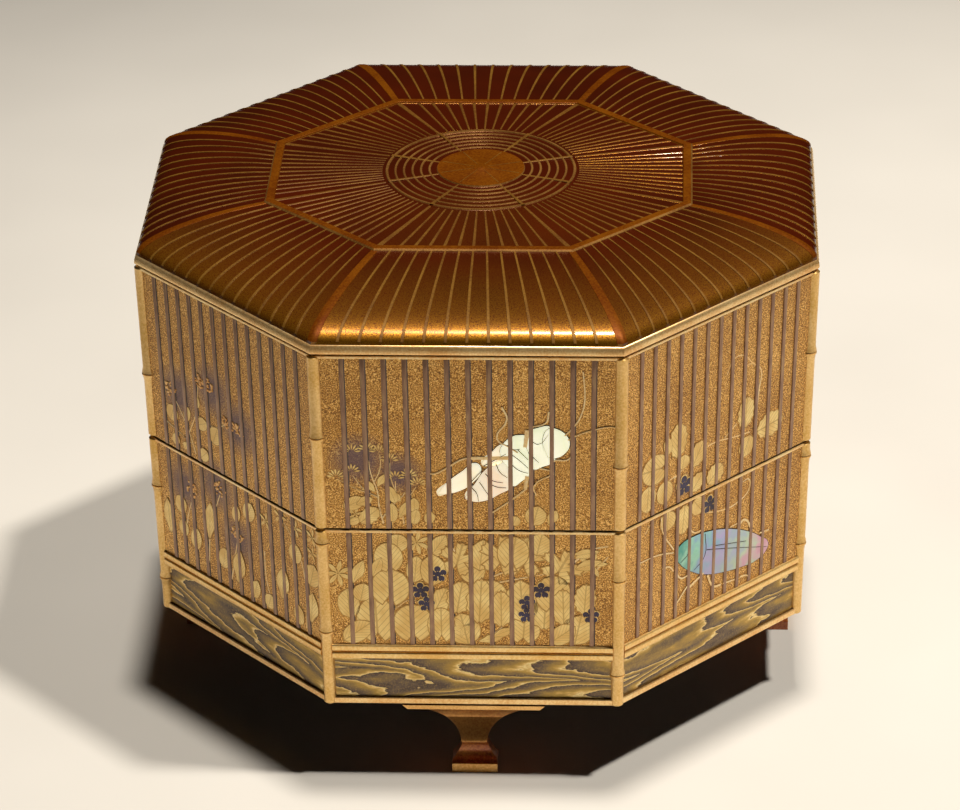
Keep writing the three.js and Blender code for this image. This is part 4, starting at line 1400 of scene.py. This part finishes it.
BEETLE_LEGS = [
    ([(-6.2, 27.8), (-4.8, 26.6), (-2.6, 26.6)], 0.36), ([(3.8, 24.3), (5.6, 24.3)], 0.3),
    ([(6.4, 24.1), (7.4, 24.4), (9.4, 21.4)], 0.5), ([(11.4, 20.2), (13.7, 20)], 0.36),
    ([(-12.6, 22.7), (-10.9, 22.4), (-9.9, 21.2)], 0.36), ([(-9.4, 21.4), (-8.1, 19.1), (-6, 18.9)], 0.36),
    ([(-6, 16.4), (-2.4, 17.8)], 0.5), ([(-6, 17.2), (-9.2, 14.2)], 0.36),
    ([(-1.4, 17), (0.2, 14.2), (2, 13.8)], 0.5), ([(2.6, 13.8), (5.5, 13.4)], 0.36),
    ([(6.8, 13.4), (8.4, 13.1), (9.4, 12.3)], 0.36), ([(-10, 25.4), (-12.8, 30), (-13.2, 32.8)], 0.3),
    ([(-10, 24.8), (-13.8, 25.8), (-18.4, 26)], 0.3),
]


def map_flat(piece):
    """UV map of a flat piece that faces -Y: across and up its bounds, from 0 to 1."""
    places = [vertex.co for vertex in piece.data.vertices]
    low_x = min(place.x for place in places)
    low_z = min(place.z for place in places)
    span_x = max(place.x for place in places) - low_x
    span_z = max(place.z for place in places) - low_z
    layer = piece.data.uv_layers.active or piece.data.uv_layers.new()
    layer.name = "flat"
    for loop in piece.data.loops:
        place = places[loop.vertex_index]
        layer.data[loop.index].uv = ((place.x - low_x) / span_x, (place.z - low_z) / span_z)


def leaf_pattern(kind):
    """A flat leaf one millimetre long and wide that grows up from its stalk at the origin."""
    sides, pinches = LEAF_KINDS[kind]
    piece = start_piece(kind + "_leaf", bpy.ops.mesh.primitive_circle_add, vertices=sides, radius=0.5 * MM,
                        fill_type="NGON", rotation=(math.pi / 2, 0, 0))
    for chosen, across, along in pinches:
        pick(piece, "verts", lambda v, chosen=chosen: chosen(v.index))
        bpy.ops.transform.resize(value=(across, 1, along), center_override=(0, 0, 0))
    bpy.ops.mesh.select_mode(type="FACE")
    bpy.ops.mesh.select_all(action="SELECT")
    bpy.ops.transform.translate(value=(0, 0, 0.5 * MM))
    bpy.ops.mesh.extrude_region_move(TRANSFORM_OT_translate={"value": (0, -LEAF_RELIEF * MM, 0)})
    bpy.ops.mesh.inset(thickness=LEAF_CONTOUR * MM, depth=0)
    end_outwards()
    map_flat(piece)
    return piece


def curve_to_mesh(name, curve):
    """The mesh object of a curve."""
    piece = link_new(name, curve)
    select_only(piece)
    bpy.ops.object.convert(target="MESH")
    return bpy.context.object


def draw_curve(name, points, closed=False, **settings):
    """A smooth curve through points in millimetres, with its settings; give it and its own points."""
    curve = bpy.data.curves.new(name, "CURVE")
    curve.bevel_resolution = 1
    for setting, value in settings.items():
        setattr(curve, setting, value)
    spline = curve.splines.new("BEZIER")
    spline.bezier_points.add(len(points) - 1)
    spline.use_cyclic_u = closed
    for bezier, place in zip(spline.bezier_points, points):
        bezier.co = [length * MM for length in place]
        bezier.handle_left_type = "AUTO"
        bezier.handle_right_type = "AUTO"
    return curve, spline.bezier_points


def gold_line(name, points, width, taper_to=0.55):
    """A thin raised line through points on a face, thinner at its end."""
    curve, beziers = draw_curve(name, [(x, 0, z) for x, z in points], dimensions="3D", resolution_u=4,
                                bevel_depth=width / 2 * MM, use_fill_caps=True)
    for index, bezier in enumerate(beziers):
        bezier.radius = 1 - (1 - taper_to) * index / max(1, len(points) - 1)
    piece = curve_to_mesh(name, curve)
    # Pressed flat against the wall, so that the bars stay in front of it
    piece.data.transform(Matrix.Diagonal((1, LINE_RELIEF / (width / 2), 1, 1)))
    return piece


def plate_of_shell(name, points, relief):
    """A thin plate with a rounded outline through points and softened edges."""
    curve, _ = draw_curve(name, [(along, across, 0) for along, across in points], True, dimensions="2D",
                          fill_mode="BOTH", resolution_u=5, extrude=relief * 0.6 * MM,
                          bevel_depth=relief * 0.4 * MM, offset=-relief * 0.4 * MM)
    piece = curve_to_mesh(name, curve)
    piece.data.transform(Matrix.Rotation(math.pi / 2, 4, "X"))
    start_edit(piece, action="SELECT")
    bpy.ops.mesh.remove_doubles(threshold=0.005 * MM)
    end_outwards()
    map_flat(piece)
    return piece


def on_wall(x, z, lean, length=1.0, width=1.0, lift=0.0):
    """Matrix for a pattern at a place on a face, leaning clockwise by degrees."""
    turned = Matrix.Rotation(math.radians(lean), 4, "Y")
    return shift(x, -lift, z) @ turned @ Matrix.Diagonal((width, 1, length, 1))


def place_leaf(patterns, leaf, number):
    """One leaf between its stalk end and its tip, each a hair above the one before."""
    kind, x, z, tip_x, tip_z, width = leaf
    length = math.hypot(tip_x - x, tip_z - z)
    lean = math.degrees(math.atan2(tip_x - x, tip_z - z))
    lift = number % LEAF_LAYERS * LEAF_STEP
    return copy_of(patterns[kind], on_wall(x, z, lean, length, width * LEAF_FULL, lift))


def tuft(patterns, x, z, reach, count):
    """Narrow blades spread like a star."""
    blades = []
    for blade in range(count):
        lean = 360 * blade / count + TUFT_LEAN
        place = on_wall(x, z, lean, reach, reach * BLADE_WIDTH, blade * LEAF_STEP)
        blades.append(copy_of(patterns[LANCE], place))
    return blades


def aster(patterns, x, z):
    """A head of short strokes that open upwards in a half circle."""
    strokes = []
    for stroke in range(ASTER_STROKES):
        lean = ASTER_SPREAD * stroke / (ASTER_STROKES - 1) - ASTER_SPREAD / 2
        foot_x = x + STROKE_START * math.sin(math.radians(lean))
        foot_z = z + STROKE_START * math.cos(math.radians(lean))
        place = on_wall(foot_x, foot_z, lean, STROKE_LENGTH, STROKE_WIDTH)
        strokes.append(copy_of(patterns[LANCE], place))
    return strokes


def grain_head(bead, x, z, reach, chance):
    """A loose round head of small grains."""
    grains = []
    for _ in range(GRAINS):
        angle = chance.uniform(0, 2 * math.pi)
        away = reach * math.sqrt(chance.random())
        size = chance.uniform(*GRAIN_SIZES)
        place = (x + away * math.cos(angle), z + away * math.sin(angle))
        grains.append(copy_of(bead, on_wall(*place, 0, size, size)))
    return grains


def berry_flower(patterns, x, z, reach, size, lift):
    """Five lobes round a middle one."""
    places = [(x, z - reach * LOBE_DROP)]
    for lobe in range(LOBES):
        angle = math.radians(360 / LOBES * lobe + LOBE_LEAN)
        up = LOBE_REACH * math.sin(angle) - LOBE_DROP
        places.append((x + reach * LOBE_REACH * math.cos(angle), z + reach * up))
    width = reach * size
    return [copy_of(patterns[ROUND], on_wall(*place, 0, width, width, lift)) for place in places]


def bead_pattern():
    """One low round grain."""
    piece = start_piece("grain", bpy.ops.mesh.primitive_ico_sphere_add, subdivisions=1,
                        radius=GRAIN_RADIUS * MM)
    bpy.ops.transform.resize(value=(1, 0.6, 1))
    end_edit()
    return piece


def trim(part, height, below):
    """Cut a part off level at a height on its face, keeping what lies below or above."""
    start_edit(part, action="SELECT")
    bpy.ops.mesh.bisect(plane_co=(0, 0, height * MM), plane_no=(0, 0, 1), use_fill=True,
                        clear_outer=below, clear_inner=not below)
    end_edit()


def sort_by_tier(parts, k, tiers):
    """Carry the parts of one face's picture to their face and to their tier, cut clear of the joint."""
    low_edge = LOWER_TOP - LOWER_BASE - EDGE_ROUND - SEAM_CLEAR_BELOW
    high_edge = UPPER_BASE - LOWER_BASE + SEAM_CLEAR_ABOVE
    for part in parts:
        heights = [vertex.co.z / MM for vertex in part.data.vertices]
        upper = (min(heights) + max(heights)) / 2 > (low_edge + high_edge) / 2
        if upper and min(heights) < high_edge:
            trim(part, high_edge, False)
        elif not upper and max(heights) > low_edge:
            trim(part, low_edge, True)
        part.data.transform(face_matrix(k))
        tiers["upper_tier" if upper else "lower_tier"].append(part)


def finish_pictures(tiers, name, cage, slot, *materials):
    """Join the parts of each tier, draw them in with the walls and finish them."""
    for tier, parts in tiers.items():
        if parts:
            piece = join(parts, tier + "_" + name)
            taper(piece, cage)
            smooth(piece, 30)
            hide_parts(tier)
            finish_as(piece, slot, *materials)


def back_sprigs(chance):
    """Plainer plants for the faces turned away: bowed stems with alternate leaves."""
    leaves = []
    lines = []
    for root_x, tip_x, tip_z in SPRIGS:
        root = Vector((root_x + chance.uniform(-2, 2), SPRIG_FOOT))
        tip = Vector((tip_x, tip_z + chance.uniform(-4, 3)))
        middle = (root + tip) / 2 + Vector((chance.uniform(-3, 3), 0))
        lines.append(([tuple(root), tuple(middle), tuple(tip)], SPRIG_WIDTH))
        for step in range(SPRIG_LEAVES):
            share = 0.08 + 0.1 * step
            place = root.lerp(middle, share).lerp(middle.lerp(tip, share), share)
            lean = math.radians((1 if step % 2 else -1) * chance.uniform(*SPRIG_LEANS))
            length = chance.uniform(*SPRIG_LENGTHS) * (1 - 0.4 * share)
            end = place + Vector((math.sin(lean), math.cos(lean))) * length
            kind = OVAL if root_x < 5 else TOOTHED
            leaves.append((kind, place.x, place.y, end.x, end.y, length * 0.5))
    return leaves, lines


def make_plants(cage, leaf_materials, line_material, berry_materials, grain_material):
    """Leaves, stems, tufts, asters, grain heads and berries on all eight faces."""
    chance = random.Random(11)
    finishes = {"leaves": leaf_materials, "stems": [line_material], "berries": berry_materials,
                "grain_heads": [grain_material]}
    patterns = {kind: leaf_pattern(kind) for kind in LEAF_KINDS}
    for pattern in patterns.values():
        inner = max(pattern.data.polygons, key=lambda face: -face.center.y * 1000 + face.area)
        paint(pattern, 1, lambda face: face.index != inner.index)
        add_materials(pattern, *leaf_materials)
    bead = bead_pattern()
    kinds = {name: {"lower_tier": [], "upper_tier": []} for name in finishes}
    for k in range(FACES):
        leaves, lines = (LEAVES[k], LINES[k]) if k in LEAVES else back_sprigs(chance)
        parts = [place_leaf(patterns, leaf, number) for number, leaf in enumerate(leaves)]
        for x, z, reach, count in TUFTS.get(k, []):
            parts += tuft(patterns, x, z, reach, count)
        for x, z in ASTERS.get(k, []):
            parts += aster(patterns, x, z)
        sort_by_tier(parts, k, kinds["leaves"])
        sort_by_tier([gold_line("stem", points, width) for points, width in lines], k, kinds["stems"])
        berries = []
        for x, z, reach in BERRIES.get(k, []):
            # Each dark lobe lies on a slightly larger gold one, which shows as its edge
            edges = berry_flower(patterns, x, z - 0.06, reach, 1.0, BERRY_LIFT - 0.02)
            sort_by_tier(edges, k, kinds["leaves"])
            berries += berry_flower(patterns, x, z, reach, LOBE_SIZE, BERRY_LIFT)
        sort_by_tier(berries, k, kinds["berries"])
        grains = [grain for head in GRAIN_HEADS.get(k, []) for grain in grain_head(bead, *head, chance)]
        sort_by_tier(grains, k, kinds["grain_heads"])
    for pattern in (*patterns.values(), bead):
        discard(pattern)
    for name, materials in finishes.items():
        finish_pictures(kinds[name], name, cage, "gold_ground", *materials)


def make_insect(name, k, tier, cage, axes, plates, creases, legs, shells, leg_gold, dark):
    """Shell plates laid along the body, dark creases drawn over them, gold legs and feelers."""
    on_face = face_matrix(k)
    by_finish = {}
    for plate, finish, relief, points in plates:
        piece = plate_of_shell(plate, points, relief)
        piece.data.transform(axes)
        piece.data.transform(on_face)
        by_finish.setdefault(finish, []).append(piece)
    for finish, pieces in by_finish.items():
        finish_pictures({tier: pieces}, name + "_" + finish, cage, "shell_inlay", shells[finish])
    lines = []
    for points in creases:
        lines.append(gold_line("crease", points, CREASE_WIDTH, 0.6))
        lines[-1].data.transform(shift(0, -SHELL_TOP, 0))
    for _, _, relief, points in plates:
        # Each outline lies just on its own plate, so that the next plate covers what it overlaps
        lines.append(gold_line("outline", points + points[:1], OUTLINE_WIDTH, 1))
        lines[-1].data.transform(shift(0, LINE_RELIEF - relief - OUTLINE_SHOWS, 0))
    for line in lines:
        line.data.transform(on_face @ axes)
    finish_pictures({tier: lines}, name + "_creases", cage, "gold_ground", dark)
    limbs = [gold_line("leg", points, width, 0.8) for points, width in legs]
    for limb in limbs:
        limb.data.transform(on_face @ shift(0, -LEG_LIFT, 0))
    finish_pictures({tier: limbs}, name + "_legs", cage, "gold_ground", leg_gold)


def scene_camera():
    """Camera at the photograph's angle, from above and a little right of the front."""
    azimuth = math.radians(CAMERA_AZIMUTH)
    elevation = math.radians(CAMERA_ELEVATION)
    roll = math.radians(CAMERA_ROLL)
    back = Vector((math.sin(azimuth) * math.cos(elevation), -math.cos(azimuth) * math.cos(elevation),
                   math.sin(elevation)))
    right = (-back).cross(Vector((0, 0, 1))).normalized()
    upward = right.cross(-back)
    rolled_right = right * math.cos(roll) + upward * math.sin(roll)
    rolled_up = upward * math.cos(roll) - right * math.sin(roll)
    data = bpy.data.cameras.new("camera")
    data.lens = CAMERA_LENS
    data.sensor_width = 36.0
    data.shift_x, data.shift_y = (shift_by / PHOTO_WIDTH for shift_by in PHOTO_SHIFT)
    data.clip_start = 0.01
    camera = link_new("camera", data)
    turn = Matrix((rolled_right, rolled_up, back)).transposed().to_4x4()
    place = Vector((0, 0, CAMERA_AIM * MM)) + back * (CAMERA_DISTANCE * MM)
    camera.matrix_world = Matrix.Translation(place) @ turn
    bpy.context.scene.camera = camera


def spot_light(name, place, softness, power, cone):
    """A distant soft lamp whose pool of light fades outwards."""
    data = bpy.data.lights.new(name, "SPOT")
    data.shadow_soft_size = softness
    data.energy = power
    data.color = LAMP_TINT
    data.spot_size = math.radians(cone)
    data.spot_blend = 1.0
    light = link_new(name, data)
    light.location = place
    light.rotation_euler = (Vector(LAMP_AIM) - Vector(place)).to_track_quat("-Z", "Y").to_euler()


def studio():
    """Pale floor, two distant lamps, one overhead and one to the right, and a dim room."""
    floor = start_piece("floor", bpy.ops.mesh.primitive_plane_add, size=FLOOR_SIZE)
    end_edit()
    add_materials(floor, plain_floor_finish())
    world = bpy.data.worlds.new("dim_room")
    world.use_nodes = True
    bpy.context.scene.world = world
    background = world.node_tree.nodes["Background"]
    background.inputs["Color"].default_value = ROOM_TINT
    background.inputs["Strength"].default_value = ROOM_LIGHT
    for name, lamp in LAMPS.items():
        spot_light(name, *lamp)
    bpy.context.scene.view_settings.view_transform = "Standard"


def main():
    """Make every piece, then the studio."""
    ground = lacquer_ground()
    rib_gold = burnished_gold("rib_tan_gold", "#603c10", "#7e581c", 0.5, metallic=0.3, coat=0.0, gloss=0.2)
    line_gold = burnished_gold("line_thin_gold", "#7c5020", "#a8783a", 0.36, metallic=0.6, coat=0.0)
    spoke_gold = burnished_gold("spoke_brown_gold", "#5a340e", "#765018", 0.5, metallic=0.3, coat=0.0,
                                gloss=0.2)
    band_gold = burnished_gold("band_orange_gold", "#5c2800", "#784204", 0.46, metallic=0.35, coat=0.0,
                               gloss=0.1)
    rim_gold = burnished_gold("rim_pale_gold", "#e8b068", "#ffdc9c", 0.36)
    post_gold = burnished_gold("post_bamboo_gold", "#dcac58", "#f8d08c", 0.38)
    rail_gold = burnished_gold("rail_bright_gold", "#f0bc68", "#ffdc98", 0.36)
    # The edge strip's gold is a painted highlight: pale and half matt, so that it shows bright without
    # direct light
    edge_gold = burnished_gold("edge_painted_highlight_gold", "#f4bc70", "#ffe4a8", 0.34, metallic=0.6)
    foot_lacquer = burnished_gold("foot_red_lacquer", "#8c3c14", "#c47834", 0.32, metallic=0.4, coat=0.5)
    foot_gold = burnished_gold("foot_edge_gold", "#d0984c", "#f0c078", 0.34)
    foot_panel = burnished_gold("foot_panel_brown_gold", "#94602c", "#b88444", 0.36)
    inside_lacquer = burnished_gold("inside_brown_gold", "#6a4a24", "#94703a", 0.4)
    stem_gold = burnished_gold("stem_bright_gold", "#f8cc80", "#ffe8b4", 0.36, metallic=0.4)
    grain_gold = burnished_gold("grain_orange_gold", "#e8a048", "#ffd088", 0.36, metallic=0.45)
    dark = dark_line_lacquer()
    walls = (sprinkled_ground(), edge_gold, inside_lacquer, rim_gold, grained_board(), dark)
    bar_lacquer = brown_bar_lacquer()
    leaf_finish = (leaf_gold("leaf_gold", "#e4bc70", "#f8dc94", "#b48c4c"),
                   leaf_gold("leaf_contour_gold", "#b08444", "#c89c54", "#94703e"))
    berry_finish = (leaf_gold("berry_blue_purple", "#3e343c", "#4c4660", "#2c2430"),
                    leaf_gold("berry_purple_edge", "#3a3040", "#484258", "#2c2430"))
    # The last number of each shell is the strength of its painted glow
    shells = {
        "cream": shell("shell_cream", ("#f8e4b8", "#fff4d8", "#fcecc8", "#f4f4dc"), 0.8, 0.6),
        "pink": shell("shell_pink", ("#fce8c4", "#fff0d4", "#fce0c0", "#fcf4d8"), 0.8, 0.5),
        "green": shell("shell_green", ("#f0f0d0", "#fcfae0", "#ecf0cc", "#f8f8dc"), 0.8, 0.6),
        "beetle": shell("shell_beetle", ("#4ca494", "#9cd8bc", "#8cb4cc", "#b4a8d4", "#a8b8c8", "#bcd0b0",
                                         "#d8a4b4", "#cc80a0"), 0.9, 0.12),
    }

    make_lid_slopes(ground, rib_gold, band_gold)
    make_lid_rim(rim_gold)
    make_crown(ground, spoke_gold, band_gold, line_gold)
    make_crown_rings(ground, line_gold, band_gold)
    make_ring_spokes(rib_gold)

    cage = taper_cage()
    make_walls("lower_tier", LOWER_BASE, LOWER_TOP, cage, walls, True)
    make_walls("upper_tier", UPPER_BASE, UPPER_TOP, cage, walls, False)
    rails_top = LOWER_BASE + BOARD_TOP + 2 * RAIL_HEIGHT
    make_bars("lower_tier", rails_top - 0.1, LOWER_TOP - EDGE_HEIGHT, cage, bar_lacquer, dark)
    make_bars("upper_tier", UPPER_BASE, UPPER_TOP - EDGE_HEIGHT, cage, bar_lacquer, dark)
    make_posts("lower_tier", LOWER_BASE + 0.05, LOWER_TOP - 0.05, cage, post_gold, dark)
    make_posts("upper_tier", UPPER_BASE + 0.05, UPPER_TOP - 0.05, cage, post_gold, dark)
    make_rails(cage, rail_gold)
    make_plants(cage, leaf_finish, stem_gold, berry_finish, grain_gold)
    make_insect("cricket", 0, "upper_tier", cage, on_wall(*CRICKET_PLACE, -CRICKET_TILT), CRICKET_PLATES,
                CRICKET_CREASES, CRICKET_LEGS, shells, stem_gold, dark)
    make_insect("beetle", 1, "lower_tier", cage, on_wall(*BEETLE_PLACE, -BEETLE_TILT), BEETLE_PLATES,
                BEETLE_CREASES, BEETLE_LEGS, shells, stem_gold, dark)
    discard(cage)

    make_feet(foot_lacquer, foot_gold, foot_panel)

    scene_camera()
    studio()


main()
